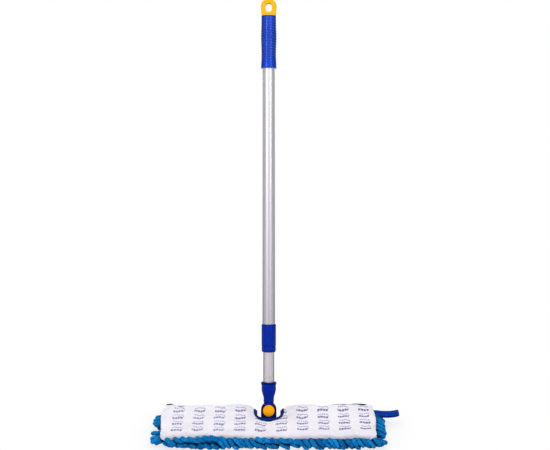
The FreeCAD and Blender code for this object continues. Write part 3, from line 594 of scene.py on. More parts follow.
# ---------------------------------------------------------------- mesh helpers
def new_mesh(name, verts, faces, material=None):
    """Makes an object; with a material it is also shaded smooth."""
    mesh = bpy.data.meshes.new(name)
    mesh.from_pydata([tuple(v) for v in verts], [], faces)
    mesh.validate()
    mesh.update()
    obj = bpy.data.objects.new(name, mesh)
    bpy.context.scene.collection.objects.link(obj)
    if material:
        dress(obj, material)
    return obj


def skin_rings(count, sides):
    """Quads joining rings of vertices, with a cap at each end."""
    faces = []
    for start in range(0, (count - 1) * sides, sides):
        for k in range(sides):
            a, b = start + k, start + (k + 1) % sides
            faces.append((a, b, b + sides, a + sides))
    faces.append(tuple(reversed(range(sides))))
    faces.append(tuple((count - 1) * sides + k for k in range(sides)))
    return faces


def apply_all(obj):
    depsgraph = bpy.context.evaluated_depsgraph_get()
    mesh = bpy.data.meshes.new_from_object(obj.evaluated_get(depsgraph))
    obj.modifiers.clear()
    obj.data = mesh


def add_smooth(obj):
    smooth = obj.modifiers.new("smooth", "SMOOTH")
    smooth.factor = 0.5
    smooth.iterations = 2


def notch_half(y, extra=0.0):
    """Half width of the notch at y, up to the outer line of its binding."""
    if y <= ROOT - extra:
        return 0.0
    if y < SHOULDER:
        depth = SHOULDER - ROOT + extra
        return (GAP + extra) * max(0.0, 1.0 - ((SHOULDER - y) / depth) ** OVAL) ** (1.0 / OVAL)
    if y < REAR - MOUTH:
        return GAP + extra
    t = min(1.0, (y - (REAR - MOUTH)) / MOUTH)
    return GAP + extra + MOUTH * (1.0 - math.sqrt(max(0.0, 1.0 - t * t)))


def outline_points(step, grow, corners):
    """Closed outline of the pad with its notch, anticlockwise.

    corners: radii at front left, front right, rear right and rear left.
    """
    half, front, rear = HALF + grow, FRONT - grow, REAR + grow
    gap = GAP - grow
    pi = math.pi
    front_left, front_right, rear_right, rear_left = corners
    points = []

    def arc(cx, cy, r, start, end):
        n = max(3, int(abs(end - start) * r / step) + 1)
        for i in range(n):
            angle = start + (end - start) * i / n
            points.append((cx + r * math.cos(angle), cy + r * math.sin(angle)))

    def line(p, q):
        n = max(1, int(math.dist(p, q) / step))
        for i in range(n):
            points.append((p[0] + (q[0] - p[0]) * i / n, p[1] + (q[1] - p[1]) * i / n))

    line((-half + front_left, front), (half - front_right, front))
    arc(half - front_right, front + front_right, front_right, -pi / 2, 0)
    line((half, front + front_right), (half, rear - rear_right))
    arc(half - rear_right, rear - rear_right, rear_right, 0, pi / 2)
    line((half - rear_right, rear), (gap + MOUTH, rear))
    arc(gap + MOUTH, rear - MOUTH, MOUTH, pi / 2, pi)
    line((gap, rear - MOUTH), (gap, SHOULDER))
    oval_steps = 26
    for i in range(oval_steps):
        c, s = math.cos(pi * i / oval_steps), math.sin(pi * i / oval_steps)
        points.append((gap * signed_power(c, 2 / OVAL),
                       SHOULDER - (SHOULDER - ROOT - grow) * s ** (2 / OVAL)))
    line((-gap, SHOULDER), (-gap, rear - MOUTH))
    arc(-gap - MOUTH, rear - MOUTH, MOUTH, 0, pi / 2)
    line((-gap - MOUTH, rear), (-half + rear_left, rear))
    arc(-half + rear_left, rear - rear_left, rear_left, pi / 2, pi)
    line((-half, rear - rear_left), (-half, front + front_left))
    arc(-half + front_left, front + front_left, front_left, pi, 1.5 * pi)
    return points


def pad_prism(name, outline, low, high, voxel):
    """Upright prism on a pad outline, to be remeshed with the given voxel size."""
    verts = [(x, y, z) for z in (low, high) for x, y in outline]
    n = len(outline)
    faces = []
    for i in range(n):
        j = (i + 1) % n
        faces.append((i, j, j + n, i + n))
    faces.append(tuple(reversed(range(n))))
    faces.append(tuple(range(n, 2 * n)))
    obj = new_mesh(name, verts, faces)
    remesh = obj.modifiers.new("remesh", "REMESH")
    remesh.mode = "VOXEL"
    remesh.voxel_size = voxel
    return obj


def register(obj, replaces=None):
    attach(obj, "head")
    if replaces:
        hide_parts(replaces)


# ---------------------------------------------------------------- white upper cloth
MAX_PUFF = 0.0042  # furthest that the simulated cloth may move
CLOTH_FRAMES = 20


def pin_cloth(obj):
    """Pins the foot and the notch edge fully and the flat top faintly."""
    pins = obj.vertex_groups.new(name="pins")
    for v in obj.data.vertices:
        x, y, z = v.co
        at_sides = (abs(x) < GAP + 0.004 and y > ROOT - 0.004
                    and abs(abs(x) - notch_half(y)) < 0.0045)
        at_root = abs(x) < 0.012 and abs(y - ROOT) < 0.004
        if z < 0.0185 or at_sides or at_root:
            pins.add([v.index], 1.0, "REPLACE")
        elif z > 0.024 and min(HALF - abs(x), y - FRONT, REAR - y) > 0.012:
            # loosely quilted to the core so that it stays flat
            pins.add([v.index], 0.06, "REPLACE")


def inflate(obj):
    """Puffs the cloth out under pressure, limited to MAX_PUFF."""
    rest = [v.co.copy() for v in obj.data.vertices]
    cloth = obj.modifiers.new("cloth", "CLOTH")
    settings = cloth.settings
    settings.quality = 5
    settings.mass = 0.25
    settings.tension_stiffness = 12
    settings.compression_stiffness = 12
    settings.shear_stiffness = 8
    settings.bending_stiffness = 1.2
    settings.use_pressure = True
    settings.uniform_pressure_force = 3.2
    settings.shrink_min = -0.025
    settings.vertex_group_mass = "pins"
    settings.pin_stiffness = 1.0
    settings.effector_weights.gravity = 0
    cloth.collision_settings.use_collision = False
    cloth.point_cache.frame_start = 1
    cloth.point_cache.frame_end = CLOTH_FRAMES
    for frame_number in range(1, CLOTH_FRAMES + 1):
        bpy.context.scene.frame_set(frame_number)
    apply_all(obj)
    bpy.context.scene.frame_set(1)
    for v, start in zip(obj.data.vertices, rest):
        offset = v.co - start
        if offset.length > MAX_PUFF:
            offset *= MAX_PUFF / offset.length
        v.co = start + offset


def settle(co):
    """Moves one point of the cloth for its border, puckers and wandering outline."""
    x, y, z = co
    if z > 0.020:
        pucker = 0.00045 * wobble(x, y, 1.0) + 0.0003 * math.sin(x * 154.0 + 0.6)
        # stitched-down border
        if min(HALF - abs(x), y - FRONT, REAR - y) < 0.010:
            pucker += 0.0006 * math.sin(x * 90.0 + y * 130.0) - 0.0006
        # crease just inside each end
        crease = abs(abs(x) - (HALF - 0.0115))
        if crease < 0.003:
            pucker -= 0.0009 * (1.0 - crease / 0.003)
        co.z += pucker
    # everything but the surround of the notch sits slightly further back
    near_notch = unit(1.0 - abs(x) / 0.055) * unit((y + 0.02) / 0.03)
    co.y += 0.0025 * (1.0 - near_notch)
    co.y += 0.0008 * math.sin(x * 37.0 + 1.1) * (1 if y > 0.05 or y < -0.03 else 0.3)
    if z > 0.019:
        # the rear edge sags in two places and is plumper in a third
        rear = unit((y - 0.030) / 0.035)
        sag = (-0.0030 * bell(x, -0.147, 0.022) - 0.0026 * bell(x, 0.047, 0.011)
               + 0.0024 * bell(x, 0.096, 0.016))
        co.z += (0.0018 + sag) * rear
        co.y += 0.0012 * rear
    # the left end bulges outwards, and both ends waver
    co.x -= 0.0022 * unit((-x - 0.17) / 0.03) * unit((y + 0.035) / 0.03)
    wave_start = 0.4 if x > 0 else 2.0
    co.x += 0.0012 * math.sin(y * 70.0 + wave_start) * (1 if abs(x) > 0.18 else 0.1)


def stuffed_cloth():
    outline = outline_points(step=0.004, grow=0.0, corners=(0.017, 0.009, 0.008, 0.012))
    obj = pad_prism("upper_cloth_skin", outline, low=0.0158, high=0.0296, voxel=0.0042)
    apply_all(obj)
    pin_cloth(obj)
    inflate(obj)
    for v in obj.data.vertices:
        settle(v.co)
    add_smooth(obj)
    subdivision = obj.modifiers.new("sub", "SUBSURF")
    subdivision.levels = subdivision.render_levels = 1
    apply_all(obj)
    dress(obj, "printed_microfibre")
    register(obj, replaces="upper_cloth")


def slab(name, grow, low, high, material, replaces, puff, seed):
    """Soft sheet with the pad's outline, rolled edges and faces uneven by puff."""
    outline = outline_points(step=0.005, grow=grow, corners=(0.014, 0.008, 0.011, 0.011))
    obj = pad_prism(name, outline, low, high, voxel=max(0.0009, (high - low) / 3.2))
    add_smooth(obj)
    apply_all(obj)
    middle = (low + high) / 2
    for v in obj.data.vertices:
        x, y, z = v.co
        v.co.z += puff * wobble(x * 1.7, y * 1.7, seed) * (1 if z > middle else -1)
    dress(obj, material)
    register(obj, replaces)


stuffed_cloth()
slab("padding_core", grow=-0.0065, low=0.0205, high=0.0245, material="pad_foam",
     replaces="wadding", puff=0.0003, seed=3.0)
# painted shade: a near black sheet behind the pile
slab("pile_base_cloth", grow=-0.0012, low=0.0134, high=0.0155, material="base_cloth",
     replaces="lower_cloth", puff=0.0002, seed=5.0)


# ---------------------------------------------------------------- chenille fingers
FLOOR_GAP = 0.0004  # the pile is pressed flat at this height


class Fingers:
    """Collects round-ended knobbly fingers into one mesh."""

    def __init__(self, sides):
        self.sides = sides
        self.verts, self.faces, self.tones = [], [], []

    def add(self, path, radius, tone):
        sides, n, base = self.sides, len(path), len(self.verts)
        length = [0.0]
        for a, b in zip(path, path[1:]):
            length.append(length[-1] + (b - a).length)
        up = Vector((0.13, 0.31, 0.94)).normalized()
        seed = rng.random() * 20.0
        for i, (point, along) in enumerate(zip(path, length)):
            tangent = (path[min(n - 1, i + 1)] - path[max(0, i - 1)]).normalized()
            u = up.cross(tangent)
            if u.length < 0.2:
                u = Vector((1, 0, 0)).cross(tangent)
            u.normalize()
            w = tangent.cross(u)
            ring = radius
            for from_end in (along / radius, (length[-1] - along) / radius):
                if from_end < 1:
                    ring *= math.sqrt(max(0.02, 1 - (1 - from_end) ** 2))
            for k in range(sides):
                angle = 2 * math.pi * k / sides
                outward = u * math.cos(angle) + w * math.sin(angle)
                q = point + outward * ring
                knob = (1.0 + 0.15 * noise.noise(q * 330.0)
                        + 0.13 * noise.noise(q * 820.0 + Vector((seed, 0, 0)))
                        + 0.05 * math.sin(along * 1300.0 + seed))
                self.verts.append(point + outward * (ring * knob))
                self.tones.append(tone)
        self.faces += [tuple(base + k for k in face) for face in skin_rings(n, sides)]

    def strand(self, at, along, top, drop, reach, out, radius, tone, count, bow=0.0):
        """Looped finger from the seam.

        It runs along the seam for reach while falling from top by drop, stands out sideways
        by out and tucks under at its end. bow pushes its middle further along.
        """
        dx, dy = along
        points = []
        for k in range(7):
            t = k / 6.0
            side = out * (math.sin(math.pi * min(1.0, 0.20 + 0.72 * t)) - 0.25)
            run = reach * (t + bow * math.sin(math.pi * t))
            points.append((at[0] + dx * run + dy * side, at[1] + dy * run - dx * side,
                           top - drop * t ** 1.15))
        self.add(curve(points, count), radius, tone)

    def build(self, name):
        verts = [(v.x, v.y, max(v.z, FLOOR_GAP)) for v in self.verts]
        obj = new_mesh(name, verts, self.faces, "blue_chenille")
        shade = obj.data.attributes.new("shade", "FLOAT", "POINT")
        shade.data.foreach_set("value", self.tones)
        register(obj)
        return obj


def under_pile():
    """Staggered rows of fingers over the underside."""
    pitch_x, pitch_y, root_z = 0.0112, 0.0092, 0.0135
    fingers = Fingers(9)
    y = FRONT + 0.007
    row = 0
    while y < REAR - 0.003:
        x = -HALF + 0.006 + (0.0055 if row % 2 else 0.0)
        while x < HALF - 0.004:
            in_notch = y > ROOT - 0.010 and abs(x) < notch_half(y, 0.008) + 0.003
            if not in_notch:
                angle = math.radians(-38 + jitter(26))
                # beside and in front of the notch they turn away from it
                if ROOT - 0.02 < y and -0.075 < x < 0.0:
                    angle = math.radians(205 + jitter(20))
                if ROOT - 0.02 < y and 0.0 <= x < 0.05:
                    angle = math.radians(-15 + jitter(18))
                if abs(x) < 0.04 and y <= ROOT:
                    angle = math.radians(-80 + jitter(20))
                heading = Vector((math.cos(angle), math.sin(angle), 0))
                height = 0.0046 + rng.random() * 0.0035
                reach = 0.021 + jitter(0.003)
                base = Vector((x + jitter(0.001), y + jitter(0.001), root_z))
                side = Vector((-heading.y, heading.x, 0)) * jitter(0.004)
                tip = (base + heading * reach + side * 0.5
                       + Vector((0, 0, height + jitter(0.0008) - root_z)))
                points = [base, base + heading * 0.003 + Vector((0, 0, -0.0042)),
                          base + heading * (reach * 0.55) + side
                          + Vector((0, 0, height - root_z)), tip]
                if (-HALF + 0.001 < tip.x < HALF + 0.003
                        and FRONT - 0.004 < tip.y < REAR + 0.004):
                    fingers.add(curve(points, 11), 0.0043 * rng.uniform(0.92, 1.08),
                                rng.random())
            x += pitch_x
        y += pitch_y
        row += 1
    return fingers.build("chenille_under")


# seam of the front edge: its y, its ends and its corner radii
SEAM_Y = FRONT + 0.0050
SEAM_LEFT, SEAM_RIGHT = -HALF + 0.003, HALF - 0.003
LEFT_CORNER, RIGHT_CORNER = 0.0165, 0.0095
SEAM_STRAIGHT = (SEAM_RIGHT - RIGHT_CORNER) - (SEAM_LEFT + LEFT_CORNER)
SEAM_END = SEAM_STRAIGHT + 0.010


def seam_lift(x):
    """The pile stands a little higher towards the left end."""
    slope = max(-0.5, min(1.0, -x / 0.10))
    return 0.0010 + 0.0022 * slope + 0.0016 * bell(x, -0.125, 0.022)


def seam_at(d):
    """Point and direction on the seam at d from the left end of its straight part."""
    if d < 0:
        r = LEFT_CORNER
        angle = min(math.pi / 2, -d / r)
        over = max(0.0, -d - r * math.pi / 2)
        return ((SEAM_LEFT + r - r * math.sin(angle), SEAM_Y + r - r * math.cos(angle) + over),
                (math.cos(angle), -math.sin(angle)))
    if d > SEAM_STRAIGHT:
        r = RIGHT_CORNER
        past = d - SEAM_STRAIGHT
        angle = min(math.pi / 2, past / r)
        over = max(0.0, past - r * math.pi / 2)
        return ((SEAM_RIGHT - r + r * math.sin(angle), SEAM_Y + r - r * math.cos(angle) + over),
                (math.cos(angle), math.sin(angle)))
    return (SEAM_LEFT + LEFT_CORNER + d, SEAM_Y), (1.0, 0.0)


def crossed_strands(fingers, d, at, along, radius):
    """A nearly level strand, then a steep one from underneath, with open gaps between."""
    x = at[0]
    fingers.strand(at, turned(along, jitter(0.06)), top=0.0232 + seam_lift(x) + jitter(0.0010),
                   drop=0.0076 + jitter(0.0022), reach=0.026 + jitter(0.004), out=0.0092,
                   radius=radius, tone=0.22 + 0.60 * rng.random(), count=26)
    low_at, low_along = seam_at(d + 0.004 + jitter(0.003))
    shorter = 0.0030 * unit((-0.150 - x) / 0.012)
    fingers.strand(low_at, turned(low_along, jitter(0.08)), top=0.0135 + jitter(0.0014),
                   drop=0.0094 - shorter + jitter(0.0005), reach=0.016 + jitter(0.004),
                   out=0.0094, radius=radius * 1.02, tone=0.10 + 0.55 * rng.random(), count=22)
    return 0.0150 + jitter(0.0026)


def corner_strands(fingers, at, along, radius):
    """Two raised tiers round the left corner."""
    raised = 0.0055 * unit((-0.170 - at[0]) / 0.022)
    fingers.strand(at, turned(along, jitter(0.05)), top=0.0238 + jitter(0.0010),
                   drop=0.0100 - raised * 0.3 + jitter(0.0012), reach=0.022 + jitter(0.003),
                   out=0.0082, radius=radius, tone=0.25 + 0.6 * rng.random(), count=26)
    fingers.strand((at[0] + 0.004, at[1]), turned(along, jitter(0.10)),
                   top=0.0140 + raised * 0.5 + jitter(0.0010), drop=0.0080 - raised * 0.5,
                   reach=0.015 + jitter(0.003), out=0.0070, radius=radius,
                   tone=0.15 + 0.5 * rng.random(), count=20)
    return 0.0125 + jitter(0.0016)


def steep_strands(fingers, d, at, along, radius, doubled):
    """One full-height strand, at times with a low one behind it."""
    x = at[0]
    fingers.strand(at, turned(along, jitter(0.05)), top=0.0228 + seam_lift(x) + jitter(0.0010),
                   drop=0.0187 + seam_lift(x) + jitter(0.0008), reach=0.0165 + jitter(0.0030),
                   out=0.0095 + jitter(0.0008), radius=radius * 1.04,
                   tone=(0.82 if x < 0.05 else 1.0) * rng.random(), count=28, bow=0.10)
    if doubled:
        # painted shade: the low one behind gets a darker tone
        fingers.strand(seam_at(d + 0.004)[0], along, top=0.0120, drop=0.0078,
                       reach=0.017 + jitter(0.004), out=0.0050, radius=radius * 0.95,
                       tone=0.1 + 0.3 * rng.random(), count=18)
    return 0.0114 + jitter(0.0016)


def front_pile():
    fingers = Fingers(14)
    d = -0.006
    i = 0
    while d < SEAM_END:
        at, along = seam_at(d)
        x = at[0]
        radius = 0.0044 * rng.uniform(0.94, 1.12)
        if -0.185 < x < -0.112 or -0.030 < x < 0.045:
            d += crossed_strands(fingers, d, at, along, radius)
        elif x < -0.185:
            d += corner_strands(fingers, at, along, radius)
        else:
            d += steep_strands(fingers, d, at, along, radius, doubled=i % 3 == 0)
        i += 1
    # painted shade: darker inner rows fill in behind them, with low tones
    d = 0.006
    while d < SEAM_END - 0.006:
        for top, inset in ((0.0185, 0.0042), (0.0105, 0.0060)):
            at, along = seam_at(d + jitter(0.003))
            at = (at[0] - along[1] * inset, at[1] + along[0] * inset)
            fingers.strand(at, turned(along, jitter(0.05)), top=top + jitter(0.0010),
                           drop=0.0045 + jitter(0.0010), reach=0.024 + jitter(0.003),
                           out=0.0062, radius=0.0046, tone=0.02 + 0.12 * rng.random(),
                           count=16)
        d += 0.0150 + jitter(0.0015)
    # a few tips that hang lower than the rest
    for x in (-0.139, -0.118, -0.066, -0.012, 0.031, 0.068, 0.094, 0.143, 0.171):
        fingers.strand((x + jitter(0.003), FRONT + 0.0015), (0.98, -0.1), top=0.0105,
                       drop=0.0062, reach=0.0085 + jitter(0.002), out=0.0080, radius=0.0039,
                       tone=rng.random(), count=14)
    # two low ones fill the foot of the left corner, with low tones as painted shade
    at, along = seam_at(-0.012)
    fingers.strand(at, turned(along, 0.25), top=0.0132, drop=0.0036, reach=0.019,
                   out=0.0062, radius=0.0042, tone=0.15, count=18)
    fingers.strand(seam_at(-0.003)[0], (1.0, 0.02), top=0.0118, drop=0.0026, reach=0.017,
                   out=0.0060, radius=0.0041, tone=0.08, count=18)
    fingers.build("chenille_front")


def end_fingers(fingers, side, rows, bends, under_start, under_bends, under_radius):
    """Fingers sticking out of one end, each doubled back underneath.

    side: -1 left, 1 right. rows: y, root height, lean in y, reach, drop, radius, tone.
    bends: shares of the reach, the lean and the drop. under_start: inset, offset in y, height.
    under_bends: share of the reach, share of the lean, height.
    """
    for y, z, lean, reach, drop, radius, tone in rows:
        reach -= radius * 0.4
        points = [(side * (HALF - 0.005), y, z - 0.001),
                  (side * (HALF + 0.002), y + lean * 0.1, z)]
        for out, leaned, dropped in (*bends, (1.0, 1.0, 1.0)):
            points.append((side * (HALF + reach * out), y + lean * leaned, z - drop * dropped))
        fingers.add(curve(points, 24), radius, tone)
        inset, offset, height = under_start
        points = [(side * (HALF - inset), y + offset, height)]
        for out, leaned, height in under_bends:
            points.append((side * (HALF + reach * out), y + lean * leaned, height))
        # painted shade: the finger doubled back underneath gets a darker tone
        fingers.add(curve(points, 14), radius * under_radius, tone * 0.4)


def end_piles():
    fingers = Fingers(14)
    # left end: a full bunch, then single clumps with gaps, none near the rear corner
    bunch = ((0.0465, 0.0178, 0.75), (0.0375, 0.0205, 0.95), (0.0280, 0.0210, 0.85),
             (0.0195, 0.0175, 0.6))  # y, reach, tone
    left_rows = [(y, 0.0168 + jitter(0.0006), -0.0010 + jitter(0.0008), reach,
                  0.0034 + jitter(0.0006), 0.0046, tone) for y, reach, tone in bunch]
    left_rows += [
        (-0.0072, 0.0135, 0.0, 0.0218, 0.0012, 0.0044, 0.6),
        (-0.0262, 0.0150, -0.0012, 0.0212, 0.0030, 0.0046, 0.8),
        (-0.0302, 0.0128, -0.0062, 0.0196, 0.0032, 0.0047, 0.7)]
    end_fingers(fingers, -1, left_rows, bends=((0.45, 0.4, 0.2), (0.8, 0.8, 0.6)),
                under_start=(0.006, 0.002, 0.0100),
                under_bends=((0.3, 0.5, 0.0080), (0.55, 1.0, 0.0056)), under_radius=0.95)
    # right end: stout tips that start under the tab and lean forward, then a single one
    # at the front corner
    right_rows = [
        (0.0620, 0.0166, -0.0150, 0.0185, 0.0060, 0.0044, 0.35),
        (0.0520, 0.0172, -0.0150, 0.0222, 0.0075, 0.0046, 0.25),
        (0.0405, 0.0172, -0.0140, 0.0200, 0.0072, 0.0047, 0.75),
        (0.0290, 0.0172, -0.0115, 0.0212, 0.0075, 0.0050, 0.6),
        (0.0155, 0.0172, -0.0110, 0.0205, 0.0075, 0.0051, 0.7),
        (0.0015, 0.0172, -0.0100, 0.0215, 0.0075, 0.0052, 0.5),
        (-0.0125, 0.0165, -0.0070, 0.0185, 0.0070, 0.0048, 0.3),
        (-0.0340, 0.0125, -0.0035, 0.0215, 0.0035, 0.0046, 0.65)]
    end_fingers(fingers, 1, right_rows, bends=((0.5, 0.45, 0.3), (0.85, 0.85, 0.75)),
                under_start=(0.004, 0.004, 0.0105),
                under_bends=((0.4, 0.6, 0.0075), (0.68, 1.0, 0.0054)), under_radius=0.92)
    fingers.build("chenille_ends")


def rear_pile():
    fingers = Fingers(12)
    x = -HALF + 0.012
    while x < HALF - 0.008:
        if abs(x) > GAP + 0.014:
            radius = 0.0044 * rng.uniform(0.92, 1.14)
            fingers.strand((x, REAR - 0.0035), turned((-1.0, 0.0), jitter(0.06)),
                           top=0.0150 + jitter(0.0006), drop=0.0098 + jitter(0.0006),
                           reach=0.0140 + jitter(0.004), out=0.0058, radius=radius,
                           tone=rng.random(), count=20)
        x += 0.0118 + jitter(0.0016)
    fingers.build("chenille_rear")


under = under_pile()
front_pile()
end_piles()
rear_pile()
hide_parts("chenille_pile")


# ---------------------------------------------------------------- bindings, hem, tab
def ribbon(name, path, widths, thicknesses, normals, material, replaces=None):
    """Flat tape with rounded edges swept along a path, thick along the normals."""
    sides, squareness = 16, 0.45
    profile = []
    for k in range(sides):
        angle = 2 * math.pi * k / sides
        profile.append((signed_power(math.cos(angle), squareness) * 0.5,
                        signed_power(math.sin(angle), squareness) * 0.5))
    verts = []
    n = len(path)
    for i, (point, width, thickness) in enumerate(zip(path, widths, thicknesses)):
        tangent = (path[min(n - 1, i + 1)] - path[max(0, i - 1)]).normalized()
        across = normals[i].normalized().cross(tangent).normalized()
        normal = tangent.cross(across)
        for a, b in profile:
            verts.append(point + across * (a * width) + normal * (b * thickness))
    register(new_mesh(name, verts, skin_rings(n, sides), material), replaces)


def notch_path(inset, height_at, oval_steps, flare, oval):
    """Line round the notch, inset from its outer edge towards the opening.

    flare carries it on round the mouth, in degrees; oval is the superellipse power.
    """
    gap = GAP - inset
    depth = SHOULDER - ROOT - inset
    mouth_x, mouth_y = gap + MOUTH, REAR - MOUTH
    steps = 6  # along each straight side and round each side of the mouth
    points = []
    for i in range(steps):
        angle = math.radians(flare) * (1 - i / steps)
        points.append((-mouth_x + MOUTH * math.cos(angle), mouth_y + MOUTH * math.sin(angle)))
    for i in range(steps):
        points.append((-gap, mouth_y - (mouth_y - SHOULDER) * i / steps))
    for i in range(oval_steps + 1):
        angle = math.pi + math.pi * i / oval_steps
        c, s = math.cos(angle), -math.sin(angle)
        points.append((gap * signed_power(c, 2 / oval),
                       SHOULDER - depth * max(0.0, s) ** (2 / oval)))
    for i in range(1, steps + 1):
        points.append((gap, SHOULDER + (mouth_y - SHOULDER) * i / steps))
    for i in range(1, steps + 1):
        angle = math.radians(flare) * i / steps
        points.append((mouth_x - MOUTH * math.cos(angle), mouth_y + MOUTH * math.sin(angle)))
    return [Vector((x, y, height_at(x, y))) for x, y in points]


def upper_notch_tape():
    def height_at(x, y):
        # lies on the cloth's rolled lip and ducks under it at the mouth
        lip = 0.0303 + 0.0004 * math.sin(x * 260.0)
        lip += 0.0013 * max(0.0, 1.0 - (y - ROOT) / 0.02)
        return lip - 0.0045 * max(0.0, (y - 0.050) / 0.014) ** 1.5

    path = notch_path(inset=0.0012, height_at=height_at, oval_steps=52, flare=38.0,
                      oval=OVAL + 0.6)
    normals = []
    for p in path:
        if p.y < SHOULDER:
            p.y += 0.0024 * bell(p.x, 0.0, 0.0105)  # pulled taut across the root
        if p.y > ROOT + 0.012:
            normals.append(Vector((-p.x * 7.0, min(0.0, p.y - SHOULDER) * -9.0, 1.0)))
        else:
            normals.append(Vector((-p.x * 9.0, -0.55, 1.0)))
    n = len(path)
    widths, thicknesses = [], []
    for i in range(n):
        full = min(1.0, min(i, n - 1 - i) / 11.0)  # 0 at the tape's ends, 1 along it
        full = full * full * (3 - 2 * full)
        widths.append(0.0012 + full * (0.0036 + 0.0003 * math.sin(i * 0.41))
                      + 0.0002 * bell(i, n / 2, 14.0))
        thicknesses.append(0.0012 + full * 0.0032)
    ribbon("upper_notch_tape", path, widths, thicknesses, normals, "bias_binding",
           replaces="upper_notch_binding")


def lower_notch_tape():
    path = notch_path(inset=0.0010, height_at=lambda x, y: 0.0121 + 0.0003 * math.sin(x * 200.0),
                      oval_steps=46, flare=12.0, oval=OVAL + 0.9)
    n = len(path)
    widths = [0.0042 * (0.35 + 0.65 * min(1.0, min(i, n - 1 - i) / 8.0)) for i in range(n)]
    ribbon("lower_notch_tape", path, widths, [0.0030] * n, [Vector((0, 0, 1))] * n,
           "bias_binding", replaces="lower_notch_binding")


def hem(name, side, bulge_at, replaces=None):
    """Rear hem on one side of the notch; bulge_at raises its top edge."""
    inner, outer, bottom, steps = 0.046, 0.2045, 0.0160, 60
    path, widths = [], []
    for i in range(steps + 1):
        x = side * (inner + (outer - inner) * i / steps)
        bulge = bulge_at(x)
        top = 0.0264 + 0.0052 * bulge + 0.0003 * math.sin(x * 120.0)
        y = REAR + 0.0046 - 0.0006 * bulge + 0.0007 * math.sin(x * 37.0 + 1.1)
        path.append(Vector((x, y, (top + bottom) / 2)))
        widths.append(top - bottom)
    n = len(path)
    ribbon(name, path, widths, [0.0016] * n, [Vector((0, 1, 0.05))] * n, "hem_binding",
           replaces=replaces)


def right_bulge(x):
    return (bell(x, 0.1810, 0.0190, power=4) + 0.90 * bell(x, 0.1430, 0.0185, power=4)
            - 0.35 * bell(x, 0.104, 0.017, power=4))


def left_bulge(x):
    return bell(x, -0.1990, 0.0060, power=4)


def pull_tab():
    """One length of webbing folded back on itself, its ends under the cloth."""
    middle_y, width, thickness = 0.0578, 0.0200, 0.0014
    # x, z: out along the lower half, round the fold and back along the upper half
    side_view = (
        (0.205, 0.0178), (0.216, 0.0180), (0.228, 0.0186), (0.240, 0.0198), (0.250, 0.0212),
        (0.2565, 0.0226),
        (0.2592, 0.0240), (0.2584, 0.0256),
        (0.2535, 0.0254), (0.245, 0.0240), (0.235, 0.0226), (0.224, 0.0210), (0.214, 0.0202),
        (0.205, 0.0200))
    path = curve([(x, middle_y + 0.0006 * math.sin(x * 90.0), z) for x, z in side_view], 64)
    n = len(path)
    normals = []
    for i in range(n):
        tangent = (path[min(n - 1, i + 1)] - path[max(0, i - 1)]).normalized()
        normals.append(Vector((0, 1, 0)).cross(tangent))
    # it swings forward and droops towards the fold
    for p in path:
        outward = max(0.0, (p.x - 0.214) / 0.045)
        p.y -= 0.0060 * outward + 0.0042 * math.sin(math.pi * min(1.0, outward))
        p.z -= 0.0006 * outward
    ribbon("pull_tab_webbing", path, [width] * n, [thickness] * n, normals, "tab_webbing",
           replaces="pull_tab")


upper_notch_tape()
lower_notch_tape()
hem("rear_hem_right", 1, right_bulge, replaces="rear_hem")
hem("rear_hem_left", -1, left_bulge)
pull_tab()


# ---------------------------------------------------------------- floor and world
def floor_material():
    """A sweep that the camera sees as white with a soft contact shade.

    Light bounces off it as off a plain pale floor. From underneath it is clear, so anything
    lowered past it stays lit and visible.
    """
    s = Shader("floor_paint")
    pale = s.ramp(s.noise(scale=3.0), [(0.3, (0.86, 0.86, 0.86)), (0.7, (0.89, 0.89, 0.89))])
    s.finish(color=pale, rough=0.9, spec=0.1)
    seen_by_camera = s.add("LightPath", output="Is Camera Ray")
    open_sky = s.add("AmbientOcclusion", {"Distance": 0.07}, "AO", samples=12)
    contact = s.ramp(open_sky, [(0.35, 0.42), (0.97, 0.0)])
    clear = s.add("BsdfTransparent")
    shade = s.add("Emission", {0: (0.52, 0.53, 0.57)})
    sweep = s.mix_shader(contact, clear, shade)
    upper_side = s.mix_shader(seen_by_camera, s.principled, sweep)
    underneath = s.add("NewGeometry", output="Backfacing")
    put(s.surface, s.mix_shader(underneath, upper_side, clear))
    return s.material


def studio_world():
    """White to the camera; broad light from front and above, dark behind in reflections."""
    world = bpy.data.worlds.new("soft")
    bpy.context.scene.world = world
    world.use_nodes = True
    graph = Graph(world.node_tree)
    surface = graph.tree.nodes.new("ShaderNodeOutputWorld").inputs[0]
    direction = graph.add("TexCoord", output="Generated")
    facing = graph.add("VectorMath", {0: direction, 1: tuple(-LOOK)}, "Value",
                       operation="DOT_PRODUCT")
    to_right = graph.add("SeparateXYZ", {0: direction})
    frontal = ((facing + 1.0) * 0.5).clamped()
    high = to_right.output(2).op("MAXIMUM", 0.0)
    diffuse = 0.26 + frontal.op("POWER", 1.6) * 0.74 + high * 0.50
    right_dimming = 1.0 - to_right.op("MAXIMUM", 0.0) * 0.25
    gloss = (0.08 + frontal.op("POWER", 2.0) * 0.46 + high * 0.15) * right_dimming
    is_camera = graph.add("LightPath", output="Is Camera Ray")
    is_glossy = is_camera.output("Is Glossy Ray")
    level = gloss * is_glossy + diffuse * (1.0 - is_glossy)
    lighting = graph.add("Background", {0: (1.0, 0.995, 1.0), 1: level})
    white = graph.add("Background", {0: (1.0, 1.0, 1.0), 1: 1.0})
    put(surface, graph.mix_shader(is_camera, lighting, white))
    world.cycles.sampling_method = "NONE"


floor = new_mesh("floor", [(-6, -6, 0), (6, -6, 0), (6, 6, 0), (-6, 6, 0)], [(0, 1, 2, 3)])
floor.data.materials.append(floor_material())
studio_world()


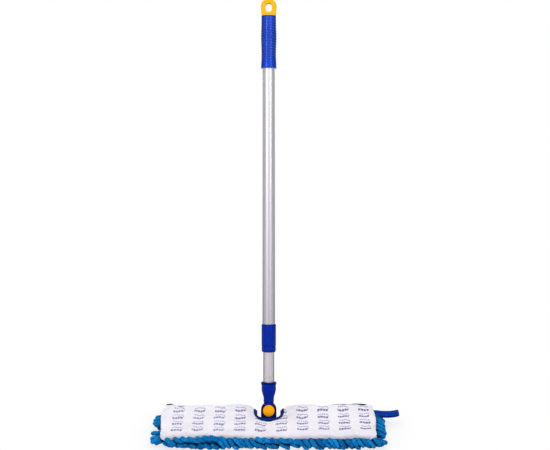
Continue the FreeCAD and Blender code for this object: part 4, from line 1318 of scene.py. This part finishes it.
# ---------------------------------------------------------------- lights and camera
def placed(where, right, up, back):
    """Matrix of an object at a place, from its three axes."""
    return Matrix.Translation(where) @ Matrix((right, up, back)).transposed().to_4x4()


def area(name, where, target, size, power, along=None):
    """Rectangular light; along, if given, is the direction of its second side."""
    light = bpy.data.lights.new(name, "AREA")
    light.shape = "RECTANGLE"
    light.size, light.size_y = size
    light.energy = power
    obj = bpy.data.objects.new(name, light)
    aim = (Vector(target) - Vector(where)).normalized()
    if along is None:
        turn = aim.to_track_quat("-Z", "Y").to_matrix().to_4x4()
        obj.matrix_world = Matrix.Translation(where) @ turn
    else:
        up = (along - aim * along.dot(aim)).normalized()
        obj.matrix_world = placed(where, up.cross(-aim), up, -aim)
    obj.visible_camera = False
    bpy.context.scene.collection.objects.link(obj)


def beside(degrees, distance, up):
    """Place at an angle from the camera's line, seen from the handle."""
    angle = math.radians(degrees)
    return (SWIVEL + ALONG * up + Vector((1, 0, 0)) * (distance * math.sin(angle))
            - LOOK * (distance * math.cos(angle)))


for name, degrees, power in (("softbox_left", -33, 7.0), ("softbox_right", 35, 5.6)):
    area(name, beside(degrees, distance=2.0, up=0.85), target=SWIVEL + ALONG * 0.6,
         size=(0.30, 1.4), power=power, along=ALONG)
area("top_light", where=(0.0, -0.25, 2.2), target=(0, 0.02, 0.0), size=(1.5, 1.0), power=9.0)

CAMERA_DISTANCE = 2.4
HALF_VIEW = 0.4464  # half the height of the view at the handle
CAMERA_UP, CAMERA_RIGHT = 0.3669, 0.0124  # from the swivel, along and across the handle

lens = bpy.data.cameras.new("camera")
camera = bpy.data.objects.new("camera", lens)
bpy.context.scene.collection.objects.link(camera)
viewpoint = (SWIVEL + ALONG * CAMERA_UP + Vector((CAMERA_RIGHT, 0, 0))
             - LOOK * CAMERA_DISTANCE)
camera.matrix_world = placed(viewpoint, Vector((1, 0, 0)), ALONG, -LOOK)
lens.sensor_fit = "VERTICAL"
lens.angle = 2 * math.atan(HALF_VIEW / CAMERA_DISTANCE)
lens.clip_start, lens.clip_end = 0.05, 50.0
bpy.context.scene.camera = camera
bpy.context.scene.view_settings.view_transform = "Standard"
